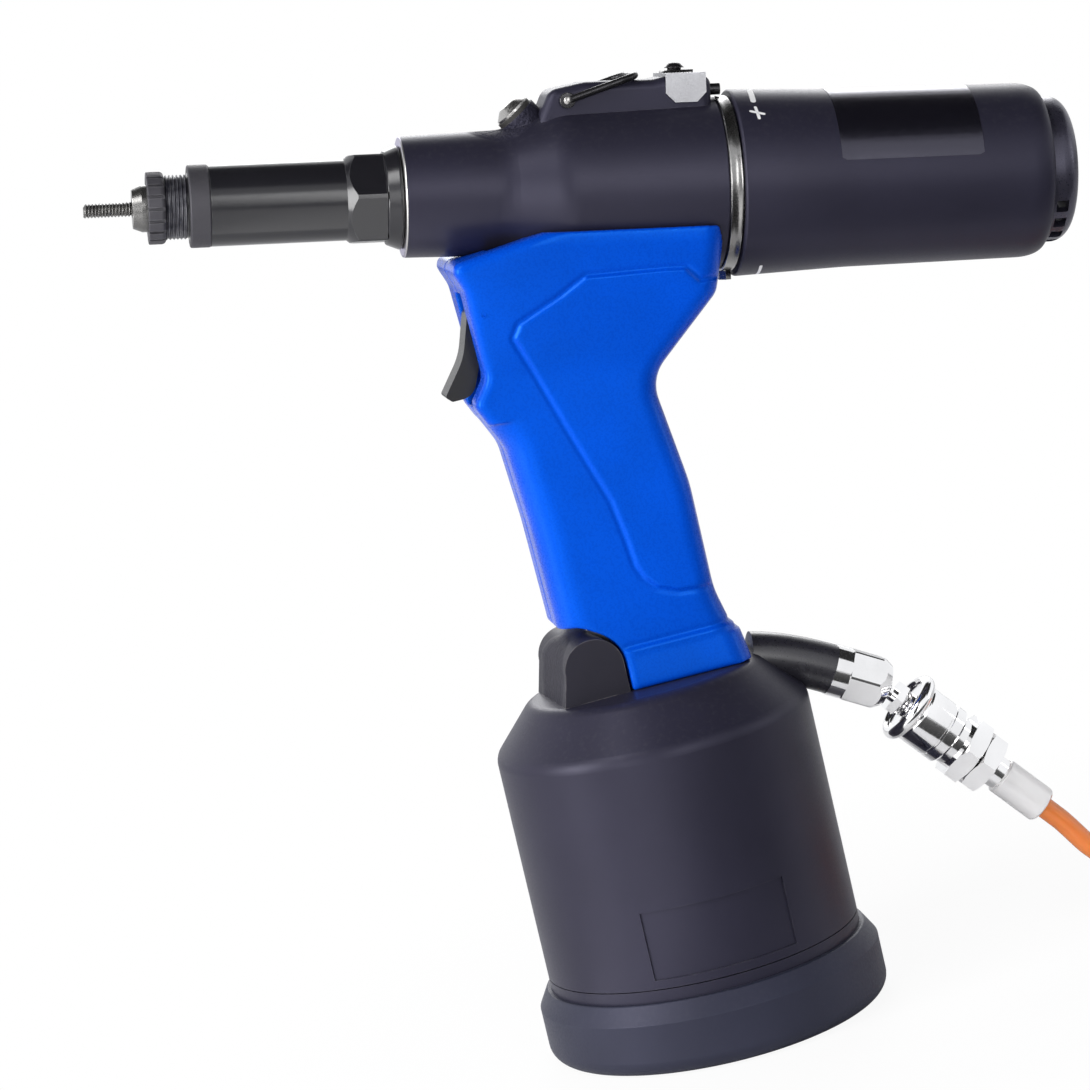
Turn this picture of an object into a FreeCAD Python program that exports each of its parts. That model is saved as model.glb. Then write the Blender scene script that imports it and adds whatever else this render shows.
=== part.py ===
import FreeCAD, Part
import math
import os
from FreeCAD import Vector

# Air-hydraulic rivet gun that spins a threaded mandrel and then pulls it.
# Millimetres and degrees. Origin: centre of the flat underside, on the air cylinder's axis.
# +Z is up along the air cylinder, -X is towards the nose, and the right shell is at -Y.
# The barrel lies in the XZ plane. Its pieces are drawn along +X, towards the rear, with the
# barrel's axis as X, and are then raised to their place by in_barrel().

# Shared clearances
running_gap = 0.05
thread_gap = 0.1
seat_gap = 0.02
face_gap = 0.3
shell_gap = 0.25
overrun = 1.0

# Barrel
barrel_tilt = 11.0
barrel_height = 237.2

# Mandrel and what spins it
mandrel_tip = -120.0
mandrel_r = 2.0
mandrel_tip_chamfer = 0.5
mandrel_thread_length = 11.0
mandrel_neck_r = 1.6
mandrel_shank_front = -83.5
mandrel_shank_r = 3.5
mandrel_head_front = -76.7
mandrel_head_rear = -70.0
mandrel_head_flats = 10.4
holder_r = 6.3
holder_rear = -46.0
holder_socket_front = -66.5
drive_flats = 5.0
drive_tip = -56.0

# Anvil, its nuts and the nose housing
anvil_front = -107.0
anvil_front_r = 5.3
anvil_bore_r = 2.5
anvil_cone_rear = -104.5
anvil_cone_r = 6.3
anvil_seat = -103.0
anvil_rear = -85.0
anvil_thread_r = 6.0
lock_nut_rear = -98.3
lock_nut_r = 9.7
lock_nut_round = 1.3
lock_nut_notches = 18
lock_nut_notch_width = 0.9
lock_nut_notch_depth = 0.6
neck_front = -98.0
neck_r = 8.3
collar_front = -92.0
collar_rear = -86.4
collar_r = 11.1
collar_seat_r = 9.0
collar_edge = 0.5
nose_r = 10.95
nose_wall_front = -84.0
nose_bore_r = 9.6
hex_front = -50.0
hex_rear = -39.5
hex_flats = 23.2
hex_corner_r = 13.1
hex_turn = -5.0
hex_chamfer_length = 2.6
nose_ring_front_r = 12.6
nose_ring_rear_r = 14.4
nose_ring_seat_r = 11.4
nose_ring_round = 0.8
spigot_front = -36.0
spigot_r = 12.0
spigot_rear = -13.0

# Draw cup, spindle, piston and glands
cup_front = -80.0
cup_rear = -38.0
cup_r = 9.2
cup_lip_length = 3.0
spindle_r = 8.0
spindle_stub_r = 6.3
spindle_bore_r = 3.3
gland_front = -12.5
gland_rear = 1.5
chamber_front = 9.0
chamber_r = 18.0
piston_front = 11.0
piston_rear = 22.0
piston_groove_depth = 1.2
piston_groove_length = 3.0
plug_front = 43.5
spring_r = 13.2
spring_wire_r = 1.5
spring_turns = 5

# Head
head_front = -35.0
head_front_r = 16.3
head_waist_r = 17.0
head_waist_end = -7.0
head_body_start = 8.2
head_body_r = 22.2
head_rear = 51.5
head_rear_r = 23.2
head_edge = 0.6
head_curve_r = 18.0
saddle_depth = 26.0
oil_port_at = 10.1
oil_port_r = 1.4

# Handle core
core_front = -17.0
core_rear = 20.0
core_half_width = 12.6
foot_front = -11.6
foot_rise = 22.0
oil_bore_r = 6.6

# Valve block on the head, with its bail, clip and button
block_front = 3.0
block_front_low = 21.0
block_nose = 5.7
block_nose_height = 27.2
block_crest = 15.3
block_crest_height = 29.0
block_step = 34.0
block_top = 29.6
block_rear = 49.8
block_half_width = 9.0
block_round = 2.6
block_crest_round = 8.0
bail_at = 10.2
bail_height = 24.3
bail_wire_r = 1.0
bail_reach = 20.0
bail_side_gap = 0.4
bail_pin_length = 3.2
bail_bend_r = 2.4
clip_front = 37.1
clip_rear = 48.1
clip_wall = 0.9
clip_low = 22.6
clip_corner = 2.5
clip_screw_at = 41.2
clip_plate_ahead = 3.4
clip_plate_behind = 4.4
clip_plate_half_width = 4.6
clip_plate_wall = 0.7
clip_screw_neck_r = 1.9
clip_screw_neck = 0.6
clip_screw_head_r = 2.75
clip_screw_head = 1.4
clip_screw_r = 1.5
clip_screw_length = 3.0
button_height = 25.65
button_r = 1.6
button_out = 3.4
button_stem_r = 1.1
button_stem_length = 5.0
button_collar_length = 1.5
button_travel = 2.5

# Oil filling screw
oil_screw_at = -2.6
oil_screw_seat = 20.8
oil_screw_lean = 48.0
oil_boss_r = 5.9
oil_boss_depth = 9.0
oil_washer_r = 5.3
oil_washer_wall = 1.2
oil_head_r = 4.9
oil_head_edge = 0.7
oil_head_height = 2.6
oil_stem_r = 2.6
oil_stem_length = 6.0

# Stroke adjuster: thread ring, sleeve and end cap
ring_flange_length = 3.5
ring_flange_r = 23.8
ring_thread_length = 13.0
ring_thread_r = 22.6
ring_bore_r = 14.0
ring_groove_depth = 0.35
ring_grooves = 3
ring_screw_r = 1.9
ring_screw_out = 2.4
ring_screw_stem_r = 1.2
ring_screw_stem_length = 4.0
sleeve_front_gap = 0.3
sleeve_front_r = 25.4
sleeve_edge = 0.7
sleeve_step_length = 29.7
sleeve_step_r = 24.3
sleeve_shoulder_length = 6.8
sleeve_shoulder_round = 5.0
sleeve_rear_r = 23.9
sleeve_ledge_wall = 5.5
sleeve_end_r = 20.4
sleeve_thread_spare = 5.5
sleeve_bore_r = 21.6
exhaust_room = 7.0
cap_r = 20.0
cap_length = 7.6
cap_round = 4.8
cap_wall = 2.4
cap_neck_r = 18.4
vent_offset = 2.6
vent_length = 3.4
vent_width = 3.6
vent_first = -29.0
vent_step = -16.5
vent_count = 9

# Air motor and planetary gear
motor_r = 19.5
motor_front_room = 7.0
gear_case_flange = 4.0
gear_case_web = 3.0
carrier_wall = 4.0
carrier_r = 12.6
shaft_r = 4.0
shaft_front = 69.5
gear_module = 0.8
sun_teeth = 12
planet_teeth = 12
ring_teeth = 36
gear_length = 7.0
planet_pin_r = 2.0
gear_case_length = 22.0
plate_wall = 4.0
liner_length = 24.0
rotor_r = 12.9
liner_bore_r = 14.5
liner_offset = 1.2
rotor_shaft_r = 3.0
bearing_r = 6.5
vane_count = 5
vane_wall = 1.2
vane_depth = 5.0
vane_stand = 0.15

# Grip shells
grip_half_width = 16.5
grip_cover_half_width = 22.6
grip_cover_low = -14.0
grip_taper_low = -45.0
grip_top = -10.2
grip_round = 6.0
grip_front_round = 8.0
grip_nose_round = 2.6
grip_nose_wall = 11.0
grip_nose_drop = 13.0
grip_nose_low_wall = 8.2
grip_nose_low_drop = 20.7
grip_kink_t = 0.8
grip_front_wall = 7.6
grip_cheek_drop = 45.2
grip_ledge_drop = 57.7
grip_nub_wall = 12.4
grip_nub_drop = 51.6
panel_top_x = 9.5
panel_top_drop = 23.6
panel_rear_x = 34.0
panel_rear_drop = 28.4
panel_corner_x = 37.2
panel_corner_drop = 33.8
panel_back_in = 2.4
panel_low_rise = 24.0
panel_front_x = 3.9
panel_arm_x = -12.0
panel_arm_drop = 57.2
panel_arm_top_drop = 36.6
grip_under_nub_wall = 6.0
grip_under_nub_drop = 65.2
grip_palm_wall = 4.4
grip_palm_share = 0.565
grip_foot_front_wall = 3.6
grip_foot_front_rise = 21.4
grip_band_rise = 9.0
grip_band_rear_wall = 6.6
grip_flare_rear_wall = 8.9
grip_flare_wall = 7.5
grip_flare_front_wall = 7.0
grip_flare_half_width = 17.4
grip_rear_low_wall = 3.7
grip_rear_low_rise = 21.0
grip_rear_wall = 3.7
grip_back_share = 0.5
grip_web_x = 19.8
grip_web_drop = 56.2
grip_web_round = 11.0
grip_rear_t = 50.6
grip_rear_low_t = 48.2
grip_rear_low = -28.4
grip_panel_stand = 0.8
# Shell screws from the left: x, drop below the barrel and the place of the shell's face there
grip_screw_places = [(31.0, 37.2, 18.6), (-20.6, 18.0, 20.4), (-22.4, 54.0, 15.6)]
grip_screw_r = 2.1
grip_screw_head = 1.8
grip_screw_stem_r = 1.1
grip_screw_length = 26.0

# Trigger and its valve
trigger_half_width = 5.8
trigger_slot_gap = 0.5
trigger_pin_out = 4.0
trigger_pin_drop = 28.4
trigger_pin_r = 1.5
trigger_pin_length = 22.0
trigger_boss_r = 3.2
trigger_tip_out = 18.4
trigger_tip_drop = 50.0
trigger_round = 1.6
slot_top_drop = 22.2
slot_low_drop = 52.8
valve_drop = 39.2
valve_r = 5.0
valve_length = 8.8
valve_stem_r = 1.4
valve_stem_out = 4.4
valve_head_r = 2.6
valve_head_length = 2.0
valve_spring_r = 2.5
valve_spring_wire_r = 0.35
valve_spring_turns = 3

# Air cylinder, piston, ram and foot
cylinder_r = 44.0
cylinder_wall = 3.0
cylinder_low = 23.5
cylinder_shoulder = 87.0
cylinder_top = 100.0
cylinder_taper = 12.0
cylinder_top_wall = 6.0
cylinder_round = 5.0
plate_low = 26.0
plate_high = 45.0
plate_half_angle = 27.0
plate_depth = 0.5
cap_joint_groove = 0.3
boot_wall = 4.2
boot_floor = 3.0
boot_top = 20.0
boot_lip = 15.0
boot_edge = 4.5
boot_step_depth = 0.6
base_floor = 6.0
air_piston_low = 14.0
air_piston_wall = 10.0
air_piston_groove = 4.0
air_piston_groove_depth = 3.0
ram_r = 6.0
ram_rise = 18.0
ram_gland_r = 9.0
ram_gland_drop = 8.0
ram_gland_rise = 12.0

# Safety valve block in front of the handle's foot
dome_front_x = -25.8
dome_rear_x = -7.1
dome_spring_rise = 8.6
dome_top_rise = 16.6
dome_half_width = 17.0
dome_turn = 4.4
dome_lean = 2.2
arch_gap = 3.6
arch_rear_gap = 5.4

# Air inlet
elbow_r = 6.95
elbow_start_in = 13.4
elbow_start_drop = 2.0
elbow_start_slope = -14.0
elbow_end_out = 8.1
elbow_end_drop = 11.2
inlet_slope = -30.3
nut_ring_length = 4.5
nut_ring_r = 7.25
nut_length = 16.5
nut_flats = 14.0
nut_corner_r = 7.9
nut_front_r = 5.9
nut_taper = 3.4
ball_at = 13.1
ball_r = 5.2
ball_mouth_r = 4.75
coupler_slope = -50.0
plug_neck_r = 1.9
plug_collar_from = 6.6
plug_collar_to = 9.0
plug_collar_r = 5.0
plug_nipple_r = 3.6
plug_nipple_to = 22.0
coupler_front = 11.6
coupler_tube_r = 7.4
release_front = 10.4
release_bead_r = 10.3
release_bead_to = 14.6
release_r = 8.5
release_to = 27.0
release_edge = 1.0
coupler_hex_from = 30.0
coupler_hex_to = 35.3
coupler_hex_flats = 18.4
hose_hex_from = 35.8
hose_hex_to = 41.2
hose_hex_flats = 16.6
hose_neck_r = 4.6
hose_ferrule_from = 45.5
hose_ferrule_r = 5.3
hose_exit_at = 60.7

# Air hose: the free stretch is a route of points, the put-away length a coil on the floor
hose_r = 3.0
hose_floor_gap = 0.1
hose_first_run = 8.0
hose_arc_share = 0.45
# Steps of the free stretch from the nut: ahead, sideways and height above the floor
hose_points = [
    (12.2, -0.3, 18.7), (25.0, -1.0, 9.0), (43.3, -2.0, 3.1), (62.1, -2.6, 3.1),
]
coil_start_run = 18.0
coil_start_heading = 7.0
coil_gap = 0.75
coil_r = 40.0
coil_half_turns_in = 4
coil_half_turns_out = 3
coil_climb_in = 1.7
coil_tail_out = 7.0
gap_checks_per_arc = 12
end_plug_hex_flats = 11.6
end_plug_hex_length = 8.0
end_plug_r = 4.6
end_plug_length = 22.0
end_plug_groove_r = 3.7
end_plug_groove = 3.0
end_plug_nipple_r = 4.2

# Places that follow from the sizes above
mandrel_thread_rear = mandrel_tip + mandrel_tip_chamfer + mandrel_thread_length
grip_nose_z = barrel_height - grip_nose_drop
grip_nose_low_z = barrel_height - grip_nose_low_drop
grip_cheek_low_z = barrel_height - grip_cheek_drop
grip_ledge_z = barrel_height - grip_ledge_drop
grip_nub_z = barrel_height - grip_nub_drop
grip_under_nub_z = barrel_height - grip_under_nub_drop
grip_web_z = barrel_height - grip_web_drop
panel_top_z = barrel_height - panel_top_drop
panel_rear_z = barrel_height - panel_rear_drop
panel_corner_z = barrel_height - panel_corner_drop
panel_arm_z = barrel_height - panel_arm_drop
panel_arm_top = barrel_height - panel_arm_top_drop
trigger_pin_z = barrel_height - trigger_pin_drop
trigger_tip_z = barrel_height - trigger_tip_drop
slot_top = barrel_height - slot_top_drop
slot_low = barrel_height - slot_low_drop
valve_z = barrel_height - valve_drop
grip_foot_front_z = cylinder_top + grip_foot_front_rise
grip_band_z = cylinder_top + grip_band_rise
grip_rear_low_z = cylinder_top + grip_rear_low_rise
grip_back_z = grip_rear_low_z + grip_back_share * (grip_web_z - grip_rear_low_z)
grip_palm_z = grip_foot_front_z + grip_palm_share * (grip_under_nub_z - grip_foot_front_z)
panel_low_z = cylinder_top + panel_low_rise
dome_spring_z = cylinder_top + dome_spring_rise
dome_top_z = cylinder_top + dome_top_rise
foot_top = cylinder_top + foot_rise
ram_gland_top = cylinder_top + ram_gland_rise
ram_top = cylinder_top + ram_rise
ram_gland_low = cylinder_top - ram_gland_drop
elbow_start_z = cylinder_top - elbow_start_drop
elbow_end_z = cylinder_top - elbow_end_drop
elbow_start_x = cylinder_r - elbow_start_in
elbow_end_x = cylinder_r + elbow_end_out
boot_r = cylinder_r + boot_wall
cylinder_top_r = cylinder_r - cylinder_taper
grip_back_x = core_rear + grip_rear_wall
grip_rear_low_x = core_rear + grip_rear_low_wall
grip_band_rear_x = core_rear + grip_band_rear_wall
grip_flare_x = core_rear + grip_flare_wall
grip_flare_rear_x = core_rear + grip_flare_rear_wall
panel_back_x = core_rear - panel_back_in
grip_palm_front_x = core_front - grip_palm_wall
grip_foot_front_x = core_front - grip_foot_front_wall
grip_under_nub_x = core_front - grip_under_nub_wall
grip_nub_x = core_front - grip_nub_wall
grip_front_x = core_front - grip_front_wall
grip_nose_low_x = core_front - grip_nose_low_wall
grip_nose_x = core_front - grip_nose_wall
grip_flare_front_x = core_front - grip_flare_front_wall
trigger_pin_x = core_front - trigger_pin_out
trigger_tip_x = core_front - trigger_tip_out
ring_flange_rear = head_rear + ring_flange_length
ring_rear = ring_flange_rear + ring_thread_length
sleeve_front = ring_flange_rear + sleeve_front_gap
sleeve_step = sleeve_front + sleeve_step_length
sleeve_thread_rear = ring_rear + sleeve_thread_spare
gear_case_front = ring_rear + motor_front_room
plate_front = gear_case_front + gear_case_length
motor_rear = plate_front + 2 * plate_wall + liner_length
sleeve_ledge = motor_rear + exhaust_room
sleeve_end = sleeve_ledge + sleeve_ledge_wall
sleeve_rear = sleeve_end - sleeve_shoulder_length
cap_rear = sleeve_end + cap_length
vent_at = sleeve_end + vent_offset
clip_plate_front = clip_screw_at - clip_plate_ahead
clip_plate_rear = clip_screw_at + clip_plate_behind

TURN = 360.0
HALF_TURN = 180.0
PARTS = {}


def save(name, shape):
    """Keep one sub-part under its name."""
    PARTS[name] = shape


# Basic forms


def corner(before, point, after, radius):
    """Tangent arc that rounds the corner at a point: its start, middle and end."""
    into = (point - before).normalize()
    out = (after - point).normalize()
    turn = into.getAngle(out)
    reach = radius * math.tan(turn / 2)
    start = point - into * reach
    end = point + out * reach
    inward = (out - into).normalize()
    middle = point + inward * (radius / math.cos(turn / 2) - radius)
    return start, middle, end


def rounded_edges(points, radii, closed):
    """Lines through the points, with the corners rounded by their radii."""
    count = len(points)
    edges = []
    joints = []
    for i, point in enumerate(points):
        inner = closed or 0 < i < count - 1
        if radii[i] > 0 and inner:
            joints.append(corner(points[i - 1], point, points[(i + 1) % count], radii[i]))
        else:
            joints.append((point, None, point))
    for i in range(count if closed else count - 1):
        start, middle, end = joints[i]
        if middle is not None:
            edges.append(Part.Arc(start, middle, end).toShape())
        begin = joints[(i + 1) % count][0]
        if (begin - end).Length > seat_gap * seat_gap:
            edges.append(Part.LineSegment(end, begin).toShape())
    if not closed and joints[-1][1] is not None:
        edges.append(Part.Arc(*joints[-1]).toShape())
    return edges


def outline(points):
    """Face in the XZ plane from (x, z) or (x, z, corner radius) points."""
    vectors = [Vector(p[0], 0, p[1]) for p in points]
    radii = [p[2] if len(p) > 2 else 0 for p in points]
    return Part.Face(Part.Wire(rounded_edges(vectors, radii, True)))


def turned(points):
    """Solid of revolution about X from (x, r) or (x, r, corner radius) points."""
    return outline(points).revolve(Vector(0, 0, 0), Vector(1, 0, 0), TURN)


def turned_up(points, angle=TURN, start=0):
    """Solid of revolution about Z from (r, z) or (r, z, corner radius) points."""
    shape = outline(points).revolve(Vector(0, 0, 0), Vector(0, 0, 1), angle)
    shape.rotate(Vector(0, 0, 0), Vector(0, 0, 1), start)
    return shape


def rod(x_from, x_to, radius, bore=0):
    """Round bar along X, or a tube when it has a bore."""
    bar = Part.makeCylinder(radius, x_to - x_from, Vector(x_from, 0, 0), Vector(1, 0, 0))
    if bore:
        hole = Part.makeCylinder(bore, x_to - x_from, Vector(x_from, 0, 0), Vector(1, 0, 0))
        bar = bar.cut(hole)
    return bar


def plate(points, half_width):
    """Flat piece: an XZ outline with equal width on both sides of the XZ plane."""
    face = outline(points)
    face.translate(Vector(0, -half_width, 0))
    return face.extrude(Vector(0, 2 * half_width, 0))


def hexagon(x_from, x_to, flats, turn=0):
    """Six-sided bar along X, measured across its flats."""
    corner_r = flats / 2 / math.cos(math.pi / 6)
    points = []
    for i in range(6):
        angle = math.radians(turn) + i * math.pi / 3
        points.append(Vector(x_from, corner_r * math.cos(angle), corner_r * math.sin(angle)))
    points.append(points[0])
    return Part.Face(Part.makePolygon(points)).extrude(Vector(x_to - x_from, 0, 0))


def block(x_from, x_to, half_width, z_from, z_to):
    """Rectangular block, as wide on both sides of the XZ plane."""
    size = (x_to - x_from, 2 * half_width, z_to - z_from)
    return Part.makeBox(*size, Vector(x_from, -half_width, z_from))


def obround(x_from, x_to, half_width, z_from, z_to):
    """Upright block with half-round ends."""
    body = block(x_from + half_width, x_to - half_width, half_width, z_from, z_to)
    for x in (x_from + half_width, x_to - half_width):
        body = body.fuse(Part.makeCylinder(half_width, z_to - z_from, Vector(x, 0, z_from)))
    return body.removeSplitter()


def in_barrel(shape):
    """Raise a piece drawn along X to its place on the tilted barrel."""
    placed = shape.copy()
    placed.rotate(Vector(0, 0, 0), Vector(0, 1, 0), barrel_tilt)
    placed.translate(Vector(0, 0, barrel_height))
    return placed


def barrel_point(t, height):
    """Point of the XZ plane from its place along and above the barrel's axis."""
    tilt = math.radians(barrel_tilt)
    x = t * math.cos(tilt) + height * math.sin(tilt)
    z = barrel_height - t * math.sin(tilt) + height * math.cos(tilt)
    return x, z


def along(shape, x, z, slope):
    """Place a piece drawn along X at a point of the XZ plane, on a slope."""
    placed = shape.copy()
    placed.rotate(Vector(0, 0, 0), Vector(0, 1, 0), -slope)
    placed.translate(Vector(x, 0, z))
    return placed


def biarc(start, heading_start, end, heading_end):
    """Two tangent arcs from one point and heading to another."""
    span = end - start
    headings = heading_start + heading_end
    # The two corners lie one reach from the ends and two reaches from each other
    spread = 4 - headings.dot(headings)
    run = span.dot(headings)
    reach = (math.sqrt(run * run + spread * span.dot(span)) - run) / spread
    first = start + heading_start * reach
    last = end - heading_end * reach
    meeting = (first + last) * 0.5
    edges = []
    for begin, apex, stop in ((start, first, meeting), (meeting, last, end)):
        into = (apex - begin).normalize()
        out = (stop - apex).normalize()
        turn = into.getAngle(out)
        radius = (apex - begin).Length / math.tan(turn / 2)
        middle = corner(begin, apex, stop, radius)[1]
        edges.append(Part.Arc(begin, middle, stop).toShape())
    return edges


def swept_tube(edges, radius):
    """Round bar along a wire of lines and tangent arcs."""
    wire = Part.Wire(edges)
    start = edges[0].valueAt(edges[0].FirstParameter)
    heading = edges[0].tangentAt(edges[0].FirstParameter)
    ring = Part.Wire([Part.makeCircle(radius, start, heading)])
    return wire.makePipeShell([ring], True, False)


def spiral_points(turns, radius, rise):
    """Places and headings of a helix about X, one for each quarter turn."""
    places = []
    for i in range(4 * turns + 1):
        angle = i * math.pi / 2
        place = Vector(rise * i / 4, radius * math.cos(angle), radius * math.sin(angle))
        heading = Vector(rise / (2 * math.pi), -radius * math.sin(angle), radius * math.cos(angle))
        places.append((place, heading.normalize()))
    return places


def coil_spring(x_from, x_to, turns, radius, wire_r):
    """Open coil spring along X between two faces."""
    rise = (x_to - x_from - 2 * wire_r) / turns
    places = spiral_points(turns, radius, rise)
    edges = []
    for (start, heading_start), (end, heading_end) in zip(places, places[1:]):
        edges += biarc(start, heading_start, end, heading_end)
    spring = swept_tube(edges, wire_r)
    spring.translate(Vector(x_from + wire_r, 0, 0))
    return spring


# Nose and mandrel


def make_mandrel():
    """Threaded mandrel with its hexagon head, held against its holder."""
    front = turned([
        (mandrel_tip, 0), (mandrel_tip, mandrel_r - mandrel_tip_chamfer),
        (mandrel_tip + mandrel_tip_chamfer, mandrel_r), (mandrel_thread_rear, mandrel_r),
        (mandrel_thread_rear, mandrel_neck_r), (mandrel_shank_front, mandrel_neck_r),
        (mandrel_shank_front, mandrel_shank_r), (mandrel_head_front, mandrel_shank_r),
        (mandrel_head_front, 0),
    ])
    head = hexagon(mandrel_head_front, mandrel_head_rear, mandrel_head_flats)
    save("mandrel", in_barrel(front.fuse(head).removeSplitter()))
    holder = rod(mandrel_head_rear, holder_rear, holder_r)
    socket = hexagon(holder_socket_front, holder_rear + overrun, drive_flats + 2 * thread_gap)
    save("mandrel_holder", in_barrel(holder.cut(socket)))


def make_anvil():
    """Anvil that the rivet nut bears on, and the notched nut that locks it."""
    anvil = turned([
        (anvil_front, 0), (anvil_front, anvil_front_r), (anvil_cone_rear, anvil_cone_r),
        (anvil_seat, anvil_cone_r), (anvil_seat, anvil_thread_r), (anvil_rear, anvil_thread_r),
        (anvil_rear, 0),
    ])
    hole = rod(anvil_front - overrun, anvil_rear + overrun, anvil_bore_r)
    save("anvil", in_barrel(anvil.cut(hole)))
    nut = turned([
        (anvil_seat, anvil_thread_r + seat_gap), (anvil_seat, lock_nut_r, lock_nut_round / 4),
        (lock_nut_rear, lock_nut_r, lock_nut_round), (lock_nut_rear, anvil_thread_r + seat_gap),
    ])
    half_notch = lock_nut_notch_width / 2
    notch = block(anvil_seat - overrun, lock_nut_rear + overrun, half_notch,
                  lock_nut_r - lock_nut_notch_depth, lock_nut_r + overrun)
    for i in range(lock_nut_notches):
        cutter = notch.copy()
        cutter.rotate(Vector(0, 0, 0), Vector(1, 0, 0), (i + 1 / 2) * TURN / lock_nut_notches)
        nut = nut.cut(cutter)
    save("anvil_lock_nut", in_barrel(nut))


def make_nose_housing():
    """Nose housing with its hexagon, the grey collar and the flared ring."""
    housing = turned([
        (neck_front, 0), (neck_front, neck_r), (collar_front, neck_r),
        (collar_front, collar_seat_r), (collar_rear, collar_seat_r), (collar_rear, nose_r),
        (hex_front, nose_r), (hex_rear, nose_r), (hex_rear, nose_ring_seat_r),
        (spigot_front, nose_ring_seat_r), (spigot_front, spigot_r), (spigot_rear, spigot_r),
        (spigot_rear, 0),
    ])
    nut = hexagon(hex_front, hex_rear, hex_flats, hex_turn)
    nut = nut.common(turned([
        (hex_front, 0), (hex_front, nose_r), (hex_front + hex_chamfer_length, hex_corner_r),
        (hex_rear, hex_corner_r), (hex_rear, 0),
    ]))
    housing = housing.fuse(nut)
    bore = turned([
        (neck_front - overrun, 0), (neck_front - overrun, anvil_thread_r + seat_gap),
        (nose_wall_front, anvil_thread_r + seat_gap), (nose_wall_front, nose_bore_r),
        (spigot_rear + overrun, nose_bore_r), (spigot_rear + overrun, 0),
    ])
    save("nose_housing", in_barrel(housing.cut(bore)))
    save("nose_collar", in_barrel(turned([
        (collar_front, collar_seat_r + seat_gap), (collar_front, collar_r, collar_edge),
        (collar_rear, collar_r, collar_edge), (collar_rear, collar_seat_r + seat_gap),
    ])))
    ring_rear = head_front - seat_gap
    save("nose_ring", in_barrel(turned([
        (hex_rear + seat_gap, nose_ring_seat_r + seat_gap),
        (hex_rear + seat_gap, nose_ring_front_r, nose_ring_round),
        (ring_rear, nose_ring_rear_r, nose_ring_round),
        (ring_rear, spigot_r + seat_gap), (spigot_front - seat_gap, spigot_r + seat_gap),
        (spigot_front - seat_gap, nose_ring_seat_r + seat_gap),
    ])))


# Hydraulic pulling unit


def make_pull_unit():
    """Draw cup, spindle and hydraulic piston, which move rearwards together."""
    inner_r = holder_r + face_gap
    cup = turned([
        (cup_front, mandrel_shank_r + face_gap), (cup_front, cup_r), (cup_rear, cup_r),
        (cup_rear, spindle_stub_r + seat_gap), (holder_rear + face_gap, spindle_stub_r + seat_gap),
        (holder_rear + face_gap, inner_r), (cup_front + cup_lip_length, inner_r),
        (cup_front + cup_lip_length, mandrel_shank_r + face_gap),
    ])
    save("draw_cup", in_barrel(cup))
    spindle = turned([
        (holder_rear + face_gap, spindle_bore_r), (holder_rear + face_gap, spindle_stub_r),
        (cup_rear, spindle_stub_r), (cup_rear, spindle_r), (piston_rear, spindle_r),
        (piston_rear, spindle_bore_r),
    ])
    save("spindle", in_barrel(spindle))
    piston_r = chamber_r - running_gap
    groove_front = (piston_front + piston_rear - piston_groove_length) / 2
    groove_rear = groove_front + piston_groove_length
    piston = turned([
        (piston_front, spindle_r + seat_gap), (piston_front, piston_r),
        (groove_front, piston_r), (groove_front, piston_r - piston_groove_depth),
        (groove_rear, piston_r - piston_groove_depth), (groove_rear, piston_r),
        (piston_rear, piston_r), (piston_rear, spindle_r + seat_gap),
    ])
    save("hydraulic_piston", in_barrel(piston))


def make_glands():
    """Front gland round the spindle, the plug behind the chamber and the return spring."""
    front = turned([
        (gland_front, spindle_r + running_gap), (gland_front, spigot_r - seat_gap),
        (gland_rear, spigot_r - seat_gap), (gland_rear, spindle_r + running_gap),
    ])
    save("front_gland", in_barrel(front))
    drive_r = drive_flats / 2 / math.cos(math.pi / 6)
    plug = rod(plug_front, head_rear, chamber_r - seat_gap, drive_r + 2 * face_gap)
    save("cylinder_plug", in_barrel(plug))
    spring = coil_spring(piston_rear + face_gap, plug_front - face_gap, spring_turns,
                         spring_r, spring_wire_r)
    save("return_spring", in_barrel(spring))


# Head


def head_outline(grow=0):
    """Outer profile of the head about the barrel's axis, grown by a clearance or a wall."""
    return [
        (head_front, 0), (head_front, head_front_r + grow, head_edge),
        (head_waist_end, head_waist_r + grow, head_curve_r),
        (head_body_start, head_body_r + grow, head_curve_r),
        (head_rear, head_rear_r + grow, head_edge), (head_rear, 0),
    ]


def oil_screw_axis(shape):
    """Place a piece drawn along X on the oil filling screw's leaning axis."""
    placed = shape.copy()
    placed.rotate(Vector(0, 0, 0), Vector(0, 1, 0), HALF_TURN + oil_screw_lean)
    placed.translate(Vector(oil_screw_at, 0, oil_screw_seat))
    return placed


def oil_boss():
    """Round boss on the head that the oil filling screw sits on."""
    return oil_screw_axis(rod(-oil_boss_depth, 0, oil_boss_r))


def saddle_plane_block(low, high):
    """Block under the barrel that is bounded by the saddle plane, in barrel lengths."""
    return block(head_front, head_rear, 2 * core_half_width, low, high)


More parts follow.
